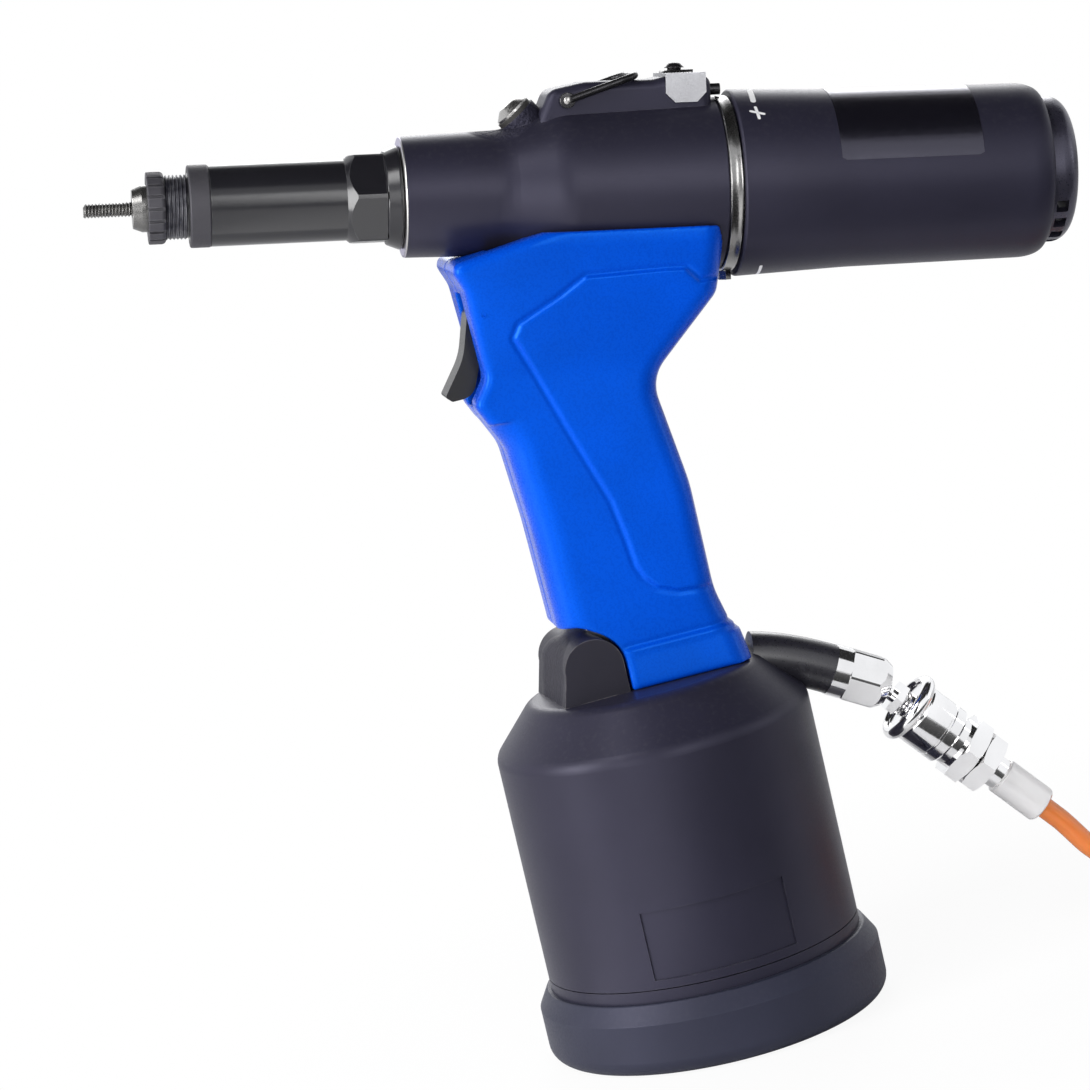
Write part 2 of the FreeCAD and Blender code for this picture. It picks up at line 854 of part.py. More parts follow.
def make_head():
    """Cast head: waist, S shaped shoulder, saddle for the handle and bores."""
    body = turned(head_outline())
    start = barrel_point(0, -saddle_depth)[0]
    saddle = obround(core_front - start, core_rear - start, core_half_width,
                     -saddle_depth, -head_waist_r / 2)
    body = body.fuse(saddle)
    body = body.fuse(oil_boss())
    bore = turned([
        (head_front - overrun, 0), (head_front - overrun, spigot_r + seat_gap),
        (gland_rear, spigot_r + seat_gap), (gland_rear, spindle_r + face_gap),
        (chamber_front, spindle_r + face_gap), (chamber_front, chamber_r),
        (head_rear + overrun, chamber_r), (head_rear + overrun, 0),
    ])
    body = body.cut(bore)
    stem = oil_screw_axis(rod(-oil_stem_length - oil_washer_wall, overrun, oil_stem_r + seat_gap))
    body = body.cut(stem)
    port = Part.makeCylinder(oil_port_r, saddle_depth, Vector(oil_port_at, 0, -saddle_depth - overrun))
    body = body.cut(port)
    pin = bail_pin_hole()
    save("head_casting", in_barrel(body.cut(pin)))
    washer = oil_screw_axis(rod(0, oil_washer_wall, oil_washer_r, oil_stem_r + seat_gap))
    save("sealing_washer", in_barrel(washer))
    dome = turned([
        (-oil_stem_length, 0), (-oil_stem_length, oil_stem_r), (oil_washer_wall, oil_stem_r),
        (oil_washer_wall, oil_head_r), (oil_washer_wall + oil_head_edge, oil_head_r),
        (oil_washer_wall + oil_head_height, oil_head_r / 2, oil_head_r / 2),
        (oil_washer_wall + oil_head_height, 0),
    ])
    save("oil_fill_screw", in_barrel(oil_screw_axis(dome)))


def bail_pin_hole():
    """Cross bore for the two bent ends of the hanger bail."""
    reach = 2 * block_half_width
    return Part.makeCylinder(bail_wire_r + running_gap, 2 * reach,
                             Vector(bail_at, -reach, bail_height), Vector(0, 1, 0))


def make_valve_block():
    """Block on top of the head that carries the bail, the clip and the button."""
    body = plate([
        (block_front, block_front_low), (block_nose, block_nose_height, block_crest_round / 2),
        (block_crest, block_crest_height, block_crest_round), (block_step, block_crest_height),
        (clip_front - face_gap, block_top), (block_rear, block_top, block_round),
        (block_rear, block_front_low - block_half_width / 2),
        (block_front, block_front_low - block_half_width / 2),
    ], block_half_width)
    top_edges = [edge for edge in body.Edges
                 if edge.BoundBox.ZMax > block_nose_height - block_round
                 and edge.BoundBox.ZMin > block_front_low
                 and edge.BoundBox.YLength < block_half_width
                 and edge.BoundBox.XLength > block_round]
    body = body.makeFillet(block_round, top_edges)
    body = body.cut(turned(head_outline())).cut(oil_boss())
    body = body.cut(bail_pin_hole())
    screw_hole = Part.makeCylinder(clip_screw_r + seat_gap, block_top,
                                   Vector(clip_screw_at, 0, block_top - clip_screw_length))
    body = body.cut(screw_hole)
    body = body.cut(button_form(running_gap, button_travel + face_gap))
    save("valve_block", in_barrel(body))


def button_form(gap, extra):
    """Push button along X behind the valve block, or its hole when it is grown by a gap."""
    start = block_rear + face_gap
    stem = turned([
        (start - button_stem_length - extra, 0), (start - button_stem_length - extra, button_stem_r + gap),
        (start - button_collar_length - extra, button_stem_r + gap),
        (start - button_collar_length - extra, button_r + gap), (start + button_out, button_r + gap),
        (start + button_out, 0),
    ])
    stem.translate(Vector(0, 0, button_height))
    return stem


def make_block_hardware():
    """Reverse button, saddle clip with its screw, and the wire hanger bail."""
    save("reverse_button", in_barrel(button_form(0, 0)))
    inner = block_half_width + seat_gap
    outer = inner + clip_wall
    clip = plate([
        (clip_front, block_top + clip_wall), (clip_rear, block_top + clip_wall),
        (clip_rear, clip_low + clip_corner), (clip_rear - clip_corner, clip_low),
        (clip_front + clip_corner, clip_low), (clip_front, clip_low + clip_corner),
    ], outer)
    clip = clip.cut(block(clip_front - overrun, clip_rear + overrun, inner,
                          clip_low - overrun, block_top + seat_gap))
    clip = clip.cut(Part.makeCylinder(clip_screw_r + seat_gap, clip_screw_length,
                                      Vector(clip_screw_at, 0, block_top)))
    save("clip_saddle", in_barrel(clip))
    base = block_top + clip_wall
    seat = base + clip_plate_wall
    screw = block(clip_plate_front, clip_plate_rear, clip_plate_half_width, base, seat)
    profile = [
        (0, block_top - clip_screw_length), (clip_screw_r, block_top - clip_screw_length),
        (clip_screw_r, seat), (clip_screw_neck_r, seat), (clip_screw_neck_r, seat + clip_screw_neck),
        (clip_screw_head_r, seat + clip_screw_neck),
        (clip_screw_head_r / 2, seat + clip_screw_neck + clip_screw_head, clip_screw_head),
        (0, seat + clip_screw_neck + clip_screw_head),
    ]
    stem = turned_up(profile)
    stem.translate(Vector(clip_screw_at, 0, 0))
    save("clip_screw", in_barrel(screw.fuse(stem)))
    side = block_half_width + bail_side_gap + bail_wire_r
    top = block_crest_height + bail_wire_r + face_gap + seat_gap
    slope = math.asin((top - bail_height) / bail_reach)
    far = Vector(bail_at + bail_reach * math.cos(slope), 0, top)
    near = Vector(bail_at, 0, bail_height)
    pin_end = Vector(0, block_half_width - bail_pin_length, 0)
    width = Vector(0, side, 0)
    points = [near - pin_end, near - width, far - width, far + width, near + width, near + pin_end]
    radii = [0] + [bail_bend_r, 2 * bail_bend_r, 2 * bail_bend_r, bail_bend_r] + [0]
    radii[1] = radii[4] = bail_side_gap + bail_wire_r
    save("hanger_bail", in_barrel(swept_tube(rounded_edges(points, radii, False), bail_wire_r)))


# Stroke adjuster


def make_stroke_adjuster():
    """Thread ring on the head, the sleeve that turns on it and the end cap."""
    groove_step = (ring_flange_rear - head_rear) / (2 * ring_grooves + 1)
    profile = [(head_rear, ring_bore_r), (head_rear, ring_flange_r)]
    for i in range(ring_grooves):
        begin = head_rear + (2 * i + 1) * groove_step
        profile += [
            (begin, ring_flange_r), (begin + groove_step / 2, ring_flange_r - ring_groove_depth),
            (begin + groove_step, ring_flange_r),
        ]
    profile += [
        (ring_flange_rear, ring_flange_r), (ring_flange_rear, ring_thread_r),
        (ring_rear, ring_thread_r), (ring_rear, ring_bore_r),
    ]
    ring = turned(profile)
    screw_at = (head_rear + ring_flange_rear) / 2
    stem = Part.makeCylinder(ring_screw_stem_r + seat_gap, ring_flange_r,
                             Vector(screw_at, 0, -ring_flange_r + ring_screw_stem_length),
                             Vector(0, 0, -1))
    save("thread_ring", in_barrel(ring.cut(stem)))
    seat = ring_flange_r + seat_gap
    head = hexagon(seat, seat + ring_screw_out, 2 * ring_screw_r * math.cos(math.pi / 6))
    screw = head.fuse(rod(ring_flange_r - ring_screw_stem_length, seat, ring_screw_stem_r))
    screw.rotate(Vector(0, 0, 0), Vector(0, 1, 0), TURN / 4)
    screw.translate(Vector(screw_at, 0, 0))
    save("ring_lock_screw", in_barrel(screw))
    thread_r = ring_thread_r + thread_gap
    sleeve = turned([
        (sleeve_front, thread_r), (sleeve_front, sleeve_front_r, sleeve_edge),
        (sleeve_step, sleeve_step_r, 6 * sleeve_front_r), (sleeve_rear, sleeve_rear_r, sleeve_shoulder_round),
        (sleeve_end, sleeve_end_r, sleeve_edge), (sleeve_end, cap_neck_r + seat_gap),
        (sleeve_ledge, cap_neck_r + seat_gap), (sleeve_ledge, sleeve_bore_r),
        (sleeve_thread_rear, sleeve_bore_r), (sleeve_thread_rear, thread_r),
    ])
    save("rear_sleeve", in_barrel(sleeve))
    cap = turned([
        (sleeve_end, cap_neck_r), (sleeve_end, cap_r), (cap_rear, cap_r, cap_round),
        (cap_rear, 0), (cap_rear - cap_wall, 0),
        (cap_rear - cap_wall, cap_r - cap_wall, cap_round - cap_wall),
        (sleeve_end + cap_wall, cap_r - cap_wall), (sleeve_end + cap_wall, cap_neck_r - cap_wall),
        (sleeve_ledge, cap_neck_r - cap_wall), (sleeve_ledge, cap_neck_r),
    ])
    vent = Part.makeBox(vent_length, vent_width, 2 * cap_wall + overrun,
                        Vector(vent_at - vent_length / 2, -vent_width / 2, cap_r - 2 * cap_wall))
    for i in range(vent_count):
        cutter = vent.copy()
        angle = vent_first + i * vent_step
        cutter.rotate(Vector(0, 0, 0), Vector(1, 0, 0), TURN / 4 - angle)
        cap = cap.cut(cutter)
    save("end_cap", in_barrel(cap))


# Air motor and gear


def gear_face(teeth, x, inner):
    """Outline of a gear about X, with straight stub teeth. An inner gear has its teeth inwards."""
    pitch_r = gear_module * teeth / 2
    tip_share, root_share = 0.62, 0.85
    tip_half_share, pitch_half_share, root_half_share = 0.13, 0.21, 0.32
    sign = -1 if inner else 1
    rows = [
        (pitch_r - sign * root_share * gear_module, root_half_share),
        (pitch_r, pitch_half_share),
        (pitch_r + sign * tip_share * gear_module, tip_half_share),
    ]
    steps = [(r, -share) for r, share in rows] + [(r, share) for r, share in reversed(rows)]
    points = []
    for tooth in range(teeth):
        for radius, share in steps:
            angle = 2 * math.pi * (tooth + share) / teeth
            points.append(Vector(x, -radius * math.sin(angle), radius * math.cos(angle)))
    points.append(points[0])
    return Part.Face(Part.makePolygon(points))


def gear(teeth, x_from, x_to, inner=False):
    """Gear along X from its outline."""
    return gear_face(teeth, x_from, inner).extrude(Vector(x_to - x_from, 0, 0))


def motor_places():
    """Faces of the motor unit along the barrel, from the gear case's front."""
    web_rear = gear_case_front + gear_case_web
    gears_from = web_rear + face_gap + carrier_wall + face_gap
    return web_rear, gears_from, gears_from + gear_length


def make_gear_case():
    """Gear case with its flange and the ring gear's inner teeth."""
    web_rear, gears_from, gears_to = motor_places()
    cavity_r = gear_module * (ring_teeth / 2 + 1) + face_gap
    case = turned([
        (gear_case_front, shaft_r + running_gap), (gear_case_front, sleeve_bore_r - thread_gap),
        (gear_case_front + gear_case_flange, sleeve_bore_r - thread_gap),
        (gear_case_front + gear_case_flange, motor_r), (plate_front, motor_r),
        (plate_front, cavity_r), (web_rear, cavity_r), (web_rear, shaft_r + running_gap),
    ])
    outer = rod(gears_from, gears_to, cavity_r + overrun)
    teeth = outer.cut(gear(ring_teeth, gears_from - overrun, gears_to + overrun, True))
    save("gear_case", in_barrel(case.fuse(teeth).removeSplitter()))


def planet_offset():
    """Distance of the planet gears' pins from the barrel's axis."""
    return gear_module * (sun_teeth + planet_teeth) / 2


def make_carrier():
    """Planet carrier in one piece with the long hexagon drive shaft, and its planets."""
    web_rear, gears_from, gears_to = motor_places()
    carrier = rod(web_rear + face_gap, web_rear + face_gap + carrier_wall, carrier_r)
    carrier = carrier.fuse(rod(shaft_front, web_rear + face_gap, shaft_r))
    carrier = carrier.fuse(hexagon(drive_tip, shaft_front, drive_flats))
    sides = (1, -1)
    for side in sides:
        pin = rod(web_rear + face_gap, gears_to, planet_pin_r)
        pin.translate(Vector(0, 0, side * planet_offset()))
        carrier = carrier.fuse(pin)
    save("planet_carrier", in_barrel(carrier.removeSplitter()))
    for number, side in enumerate(sides, 1):
        planet = gear(planet_teeth, gears_from, gears_to)
        # A planet's gap faces the sun's tooth, half a tooth on from its own first tooth
        planet.rotate(Vector(0, 0, 0), Vector(1, 0, 0), HALF_TURN / planet_teeth)
        planet = planet.cut(rod(gears_from - overrun, gears_to + overrun, planet_pin_r + running_gap))
        planet.translate(Vector(0, 0, side * planet_offset()))
        save("planet_gear_%d" % number, in_barrel(planet))


def motor_ends():
    """Faces of the vane motor's liner and rear plate."""
    liner_front = plate_front + plate_wall
    return liner_front, liner_front + liner_length


def make_motor():
    """Vane motor: liner with its offset bore, end plates, bearings, rotor and vanes."""
    liner_front, liner_rear = motor_ends()
    liner = rod(liner_front, liner_rear, motor_r)
    offset_bore = rod(liner_front - overrun, liner_rear + overrun, liner_bore_r)
    offset_bore.translate(Vector(0, 0, liner_offset))
    save("motor_cylinder", in_barrel(liner.cut(offset_bore)))
    plates = [
        rod(plate_front, liner_front, motor_r, bearing_r + seat_gap),
        rod(liner_rear, liner_rear + plate_wall, motor_r, bearing_r + seat_gap),
    ]
    save("motor_end_plates", in_barrel(Part.makeCompound(plates)))
    bearings = [
        rod(plate_front, liner_front - face_gap, bearing_r, rotor_shaft_r + running_gap),
        rod(liner_rear + face_gap, liner_rear + plate_wall, bearing_r, rotor_shaft_r + running_gap),
    ]
    save("motor_bearings", in_barrel(Part.makeCompound(bearings)))
    gears_from, gears_to = motor_places()[1:]
    body = rod(liner_front + face_gap, liner_rear - face_gap, rotor_r)
    slot = block(liner_front, liner_rear, vane_wall / 2 + seat_gap,
                 rotor_r - vane_depth - seat_gap, rotor_r + overrun)
    vane = block(liner_front + face_gap, liner_rear - face_gap, vane_wall / 2,
                 rotor_r - vane_depth, rotor_r + vane_stand)
    vanes = []
    for i in range(vane_count):
        for shape in (slot, vane):
            shape.rotate(Vector(0, 0, 0), Vector(1, 0, 0), TURN / vane_count)
        body = body.cut(slot)
        vanes.append(vane.copy())
    body = body.fuse(rod(gears_to, liner_rear + plate_wall, rotor_shaft_r))
    body = body.fuse(gear(sun_teeth, gears_from, gears_to))
    save("motor_rotor", in_barrel(body.removeSplitter()))
    save("motor_vanes", in_barrel(Part.makeCompound(vanes)))


# Handle


def core_form(gap=0):
    """Handle core's upright body, grown by a clearance when it is cut from the shells."""
    top = barrel_height
    column = obround(core_front - gap, core_rear + gap, core_half_width + gap, foot_top - gap, top)
    foot = obround(foot_front - gap, core_rear + gap, core_half_width + gap, cylinder_top, foot_top)
    form = column.fuse(foot)
    above = in_barrel(saddle_plane_block(-saddle_depth, 2 * head_rear_r))
    return form.cut(above).removeSplitter()


def make_handle_core():
    """Handle core with the oil bore and the pocket for the trigger's valve."""
    core = core_form()
    core = core.cut(Part.makeCylinder(oil_bore_r, barrel_height, Vector(0, 0, ram_gland_top)))
    core = core.cut(Part.makeCylinder(ram_gland_r + seat_gap, 2 * (ram_gland_top - cylinder_top),
                                      Vector(0, 0, ram_gland_top - 2 * (ram_gland_top - cylinder_top))))
    pocket = rod(-overrun, valve_length, valve_r + seat_gap)
    core = core.cut(along(pocket, core_front, valve_z, 0))
    save("handle_core", core)


def on_barrel(t, height, radius=0):
    """Outline point from its place along and above the barrel's axis."""
    x, z = barrel_point(t, height)
    return x, z, radius


def grip_profile():
    """Side outline of both grip shells, without the flared band at the foot."""
    return [
        (grip_nose_x, grip_nose_z, grip_nose_round), on_barrel(grip_kink_t, grip_top),
        on_barrel(grip_rear_t, grip_top),
        on_barrel(grip_rear_low_t, grip_rear_low, grip_round),
        (grip_web_x, grip_web_z, grip_web_round),
        (grip_back_x, grip_back_z, 2 * grip_back_x), (grip_rear_low_x, grip_rear_low_z, grip_back_x),
        (grip_band_rear_x, grip_band_z), (grip_foot_front_x, grip_band_z),
        (grip_foot_front_x, grip_foot_front_z), (grip_palm_front_x, grip_palm_z, 2 * grip_back_x),
        (grip_under_nub_x, grip_under_nub_z, grip_web_round),
        (grip_nub_x, grip_nub_z, grip_nose_round),
        (grip_front_x, grip_cheek_low_z, grip_round), (grip_nose_low_x, grip_nose_low_z, grip_round),
    ]


def grip_section():
    """Bar along the barrel whose section widens from the handle to the cover."""
    low = 2 * (grip_cover_low - barrel_height / 2)
    half = [
        (grip_half_width, low), (grip_half_width, grip_taper_low),
        (grip_cover_half_width, grip_cover_low), (grip_cover_half_width, head_rear_r),
    ]
    points = [Vector(head_front, y, z) for y, z in half]
    points += [Vector(head_front, -y, z) for y, z in reversed(half)]
    radii = [0, 2 * grip_cover_half_width, grip_round, 0, 0, grip_round, 2 * grip_cover_half_width, 0]
    face = Part.Face(Part.Wire(rounded_edges(points, radii, True)))
    return in_barrel(face.extrude(Vector(2 * head_rear, 0, 0)))


def rounded_rectangle(x_from, x_to, half_width, z, radius):
    """Level wire with rounded corners."""
    points = [Vector(x_from, -half_width, z), Vector(x_to, -half_width, z),
              Vector(x_to, half_width, z), Vector(x_from, half_width, z)]
    return Part.Wire(rounded_edges(points, [radius] * 4, True))


def grip_foot():
    """Flared band at the foot of the grip."""
    low = rounded_rectangle(grip_flare_front_x, grip_flare_rear_x, grip_flare_half_width,
                            cylinder_top, grip_round)
    high = rounded_rectangle(grip_foot_front_x, grip_flare_x, grip_half_width + seat_gap,
                             grip_band_z, grip_round)
    return Part.makeLoft([low, high], True, True)


def side_corners(body, front):
    """Upright edges at the handle's front or rear, where its sides end."""
    edges = []
    for edge in body.Edges:
        box = edge.BoundBox
        side = min(abs(box.YMin), abs(box.YMax)) > grip_half_width - seat_gap
        upright = box.ZLength > box.XLength and box.YLength < seat_gap
        below_cover = grip_band_z - seat_gap < box.ZMin and box.ZMax < grip_cheek_low_z
        if side and upright and below_cover and (box.XMax < 0) == front:
            edges.append(edge)
    return edges


def grip_body():
    """Outer form of the whole grip before it is hollowed and split."""
    body = plate(grip_profile(), grip_cover_half_width + overrun).common(grip_section())
    body = body.makeFillet(grip_round, side_corners(body, False))
    reach = 4 * grip_cover_half_width
    # The handle's front is rounder than the cheeks, so the two are rounded apart
    low = body.common(block(-reach, reach, reach, 0, grip_ledge_z))
    low = low.makeFillet(grip_front_round, side_corners(low, True))
    high = body.common(block(-reach, reach, reach, grip_ledge_z, barrel_height))
    high = high.makeFillet(grip_nose_round, side_corners(high, True))
    body = low.fuse(high).fuse(grip_foot())
    for side in (-1, 1):
        stand = body.copy()
        stand.translate(Vector(0, side * grip_panel_stand, 0))
        panel = plate(grip_panel_outline(), reach / 2)
        panel.translate(Vector(0, side * (reach / 2 + grip_half_width / 2), 0))
        body = body.fuse(stand.common(panel))
    return body.removeSplitter()


def grip_panel_outline():
    """Side outline of the raised palm panel."""
    return [
        (panel_top_x, panel_top_z, grip_nose_round), (panel_rear_x, panel_rear_z, grip_nose_round),
        (panel_corner_x, panel_corner_z, grip_round),
        (panel_back_x, grip_web_z, 2 * grip_web_round),
        (panel_back_x, panel_low_z, grip_round), (panel_front_x, panel_low_z, 2 * grip_round),
        (panel_front_x, panel_arm_z, 2 * grip_web_round), (panel_arm_x, panel_arm_top, grip_round),
    ]


def dome_form(gap=0):
    """Safety valve block, turned slightly about the upright axis."""
    form = plate([
        (dome_front_x - gap, cylinder_top), (dome_front_x + dome_lean - gap, dome_spring_z),
        (dome_front_x + dome_lean - gap, dome_top_z + gap, dome_top_z - dome_spring_z),
        (dome_rear_x + gap, dome_top_z + gap, dome_top_z - dome_spring_z),
        (dome_rear_x + gap, cylinder_top),
    ], dome_half_width + gap)
    form.rotate(Vector(dome_rear_x, 0, 0), Vector(0, 0, 1), dome_turn)
    return form


def make_grip():
    """Two grip shells, split on the XZ plane, hollowed for the core, head and trigger."""
    body = grip_body()
    body = body.cut(core_form(shell_gap))
    body = body.cut(in_barrel(turned(head_outline(shell_gap))))
    start = barrel_point(0, -saddle_depth)[0]
    saddle = block(core_front - start - overrun, core_rear - start + overrun,
                   core_half_width + overrun, -saddle_depth - overrun, 0)
    body = body.cut(in_barrel(saddle))
    slot = block(2 * grip_nose_x, 0, trigger_half_width + trigger_slot_gap, slot_low, slot_top)
    body = body.cut(slot)
    arch_z = dome_top_z + arch_gap
    front_space = plate([
        (2 * grip_nose_x, cylinder_top - overrun), (2 * grip_nose_x, arch_z), (grip_nose_x, arch_z),
        ((dome_front_x + dome_rear_x) / 2, arch_z, grip_round),
        (dome_rear_x + overrun, dome_spring_z + arch_rear_gap, 2 * grip_round),
        (dome_rear_x + overrun, cylinder_top - overrun),
    ], 2 * dome_half_width)
    front_space.rotate(Vector(dome_rear_x, 0, 0), Vector(0, 0, 1), dome_turn)
    body = body.cut(front_space)
    pin = Part.makeCylinder(trigger_pin_r + seat_gap, trigger_pin_length,
                            Vector(trigger_pin_x, -trigger_pin_length / 2, trigger_pin_z),
                            Vector(0, 1, 0))
    body = body.cut(pin)
    reach = 2 * grip_cover_half_width
    left = body.common(Part.makeBox(4 * reach, reach, barrel_height, Vector(-2 * reach, seat_gap, 0)))
    right = body.common(Part.makeBox(4 * reach, reach, barrel_height,
                                     Vector(-2 * reach, -reach, 0)))
    screws = []
    for x, drop, surface in grip_screw_places:
        z = barrel_height - drop
        seat = surface - grip_screw_head
        hole = Part.makeCylinder(grip_screw_r + seat_gap, reach, Vector(x, seat, z), Vector(0, 1, 0))
        stem_hole = Part.makeCylinder(grip_screw_stem_r + seat_gap, grip_screw_length,
                                      Vector(x, seat - grip_screw_length, z), Vector(0, 1, 0))
        left = left.cut(hole).cut(stem_hole)
        right = right.cut(stem_hole)
        head = Part.makeCylinder(grip_screw_r, grip_screw_head, Vector(x, seat, z), Vector(0, 1, 0))
        stem = Part.makeCylinder(grip_screw_stem_r, grip_screw_length,
                                 Vector(x, seat - grip_screw_length, z), Vector(0, 1, 0))
        screws.append(head.fuse(stem))
    save("grip_shell_left", left)
    save("grip_shell_right", right)
    save("grip_screws", Part.makeCompound(screws))


def make_trigger():
    """Trigger with its pin, and the valve that it pushes."""
    lever = plate([
        (trigger_pin_x - trigger_boss_r, trigger_pin_z + trigger_boss_r / 2, trigger_round),
        ((trigger_pin_x - trigger_boss_r + trigger_tip_x) / 2 + trigger_round,
         (trigger_pin_z + trigger_tip_z) / 2, 6 * trigger_boss_r),
        (trigger_tip_x, trigger_tip_z + trigger_round, trigger_round / 2),
        (trigger_tip_x + trigger_round, trigger_tip_z, trigger_round / 2),
        (core_front - valve_stem_out - 2 * trigger_boss_r, trigger_tip_z, 3 * trigger_round),
        (core_front - valve_stem_out - face_gap - trigger_round, valve_z, 3 * trigger_boss_r),
        (trigger_pin_x + trigger_boss_r / 2, trigger_pin_z, trigger_round / 2),
    ], trigger_half_width)
    boss = Part.makeCylinder(trigger_boss_r, 2 * trigger_half_width,
                             Vector(trigger_pin_x, -trigger_half_width, trigger_pin_z),
                             Vector(0, 1, 0))
    hole = Part.makeCylinder(trigger_pin_r + running_gap, 4 * trigger_half_width,
                             Vector(trigger_pin_x, -2 * trigger_half_width, trigger_pin_z),
                             Vector(0, 1, 0))
    pusher = block(core_front - valve_stem_out - face_gap - 2 * trigger_round,
                   core_front - valve_stem_out - face_gap, trigger_half_width / 2,
                   valve_z - trigger_boss_r / 2, valve_z + trigger_boss_r / 2)
    save("trigger", lever.fuse(boss).fuse(pusher).cut(hole).removeSplitter())
    pin = Part.makeCylinder(trigger_pin_r, trigger_pin_length - 2 * seat_gap,
                            Vector(trigger_pin_x, -trigger_pin_length / 2 + seat_gap, trigger_pin_z),
                            Vector(0, 1, 0))
    save("trigger_pin", pin)


def make_valve():
    """Trigger valve: cartridge in the core, its stem and the spring round the stem."""
    bore = rod(-overrun, valve_length + overrun, valve_stem_r + running_gap)
    room = rod(valve_length / 2, valve_length + overrun, valve_head_r + face_gap)
    body = rod(0, valve_length, valve_r).cut(bore).cut(room)
    save("valve_body", along(body, core_front, valve_z, 0))
    head_at = valve_length / 2 + face_gap
    stem = rod(-valve_stem_out, head_at, valve_stem_r)
    stem = stem.fuse(rod(head_at, head_at + valve_head_length, valve_head_r))
    save("valve_stem", along(stem, core_front, valve_z, 0))
    spring = coil_spring(-valve_stem_out, -seat_gap, valve_spring_turns, valve_spring_r,
                         valve_spring_wire_r)
    save("trigger_spring", along(spring, core_front, valve_z, 0))


# Foot: air cylinder, piston, ram, cap and boot


def cylinder_outline(grow=0):
    """Outer profile of the air cylinder about the upright axis."""
    return [
        (0, cylinder_low), (cylinder_r + grow, cylinder_low),
        (cylinder_r + grow, cylinder_shoulder, cylinder_round),
        (cylinder_top_r + grow, cylinder_top + grow, cylinder_round), (0, cylinder_top + grow),
    ]


def make_air_cylinder():
    """Air cylinder with its sloped shoulder and the bare recess on its near side."""
    body = turned_up(cylinder_outline())
    bore_r = cylinder_r - cylinder_wall
    room = turned_up([
        (0, cylinder_low - overrun), (bore_r, cylinder_low - overrun),
        (bore_r, cylinder_shoulder - cylinder_wall, cylinder_round),
        (cylinder_top_r - cylinder_wall, cylinder_top - cylinder_top_wall, cylinder_round),
        (0, cylinder_top - cylinder_top_wall),
    ])
    body = body.cut(room)
    gland = Part.makeCylinder(ram_gland_r + seat_gap, cylinder_top, Vector(0, 0, cylinder_low))
    body = body.cut(gland)
    recess = turned_up([
        (cylinder_r - plate_depth, plate_low), (cylinder_r + overrun, plate_low),
        (cylinder_r + overrun, plate_high), (cylinder_r - plate_depth, plate_high),
    ], 2 * plate_half_angle, -TURN / 4 - plate_half_angle)
    save("air_cylinder", body.cut(recess))


def make_air_piston():
    """Air piston with its sealing ring, the ram on it and the gland round the ram."""
    bore_r = cylinder_r - cylinder_wall
    piston_r = bore_r - thread_gap
    top = air_piston_low + air_piston_wall
    groove = (air_piston_low + top - air_piston_groove) / 2
    piston = turned_up([
        (0, air_piston_low), (piston_r, air_piston_low), (piston_r, groove),
        (piston_r - air_piston_groove_depth, groove),
        (piston_r - air_piston_groove_depth, groove + air_piston_groove),
        (piston_r, groove + air_piston_groove), (piston_r, top), (0, top),
    ])
    save("air_piston", piston)
    ring = turned_up([
        (piston_r - air_piston_groove_depth + seat_gap, groove + seat_gap),
        (piston_r, groove + seat_gap), (piston_r, groove + air_piston_groove - seat_gap),
        (piston_r - air_piston_groove_depth + seat_gap, groove + air_piston_groove - seat_gap),
    ])
    save("air_piston_ring", ring)
    save("ram", Part.makeCylinder(ram_r, ram_top - top, Vector(0, 0, top)))
    gland = Part.makeCylinder(ram_gland_r, ram_gland_top - ram_gland_low, Vector(0, 0, ram_gland_low))
    bore = Part.makeCylinder(ram_r + running_gap, ram_gland_top, Vector(0, 0, ram_gland_low - overrun))
    save("ram_gland", gland.cut(bore))


def make_foot():
    """Bottom cap of the air cylinder and the rubber boot that it stands in."""
    bore_r = cylinder_r - cylinder_wall
    cap = turned_up([
        (0, boot_floor), (cylinder_r, boot_floor), (cylinder_r, cylinder_low - cap_joint_groove),
        (bore_r + cylinder_wall / 2, cylinder_low - cap_joint_groove),
        (bore_r + cylinder_wall / 2, cylinder_low), (bore_r, cylinder_low),
        (bore_r, boot_floor + base_floor), (0, boot_floor + base_floor),
    ])
    save("base_cap", cap)
    inner = cylinder_r + seat_gap
    boot = turned_up([
        (0, 0), (boot_r, 0, boot_edge), (boot_r, boot_lip, boot_step_depth),
        (inner + 2 * boot_step_depth, boot_top, boot_step_depth),
        (inner, boot_top), (inner, boot_floor), (0, boot_floor),
    ])
    save("base_boot", boot)
    dome = dome_form()
    dome = dome.cut(obround(foot_front - shell_gap, 2 * core_rear, core_half_width + shell_gap,
                            0, 2 * cylinder_top))
    save("relief_block", dome)


# Air inlet


def make_inlet():
    """Elbow on the cylinder's shoulder, the swivel nut and the ball-ended plug in it."""
    slope = math.radians(elbow_start_slope)
    end_slope = math.radians(inlet_slope)
    start = Vector(elbow_start_x, 0, elbow_start_z)
    end = Vector(elbow_end_x, 0, elbow_end_z)
    edges = biarc(start, Vector(math.cos(slope), 0, math.sin(slope)),
                  end, Vector(math.cos(end_slope), 0, math.sin(end_slope)))
    elbow = swept_tube(edges, elbow_r).cut(turned_up(cylinder_outline(seat_gap)))
    save("inlet_elbow", elbow)
    ring_end = nut_ring_length
    nut = turned([
        (ring_end, 0), (ring_end, nut_corner_r), (nut_length - nut_taper, nut_corner_r),
        (nut_length, nut_front_r), (nut_length, 0),
    ])
    nut = nut.common(hexagon(ring_end, nut_length, nut_flats))
    nut = nut.fuse(rod(0, ring_end, nut_ring_r)).removeSplitter()
    socket = Part.makeSphere(ball_r + running_gap, Vector(ball_at, 0, 0))
    opening = rod(ball_at, nut_length + overrun, ball_mouth_r)
    passage = rod(-overrun, ball_at, hose_r)
    nut = nut.cut(socket).cut(opening).cut(passage)
    save("swivel_nut", along(nut, elbow_end_x, elbow_end_z, inlet_slope))


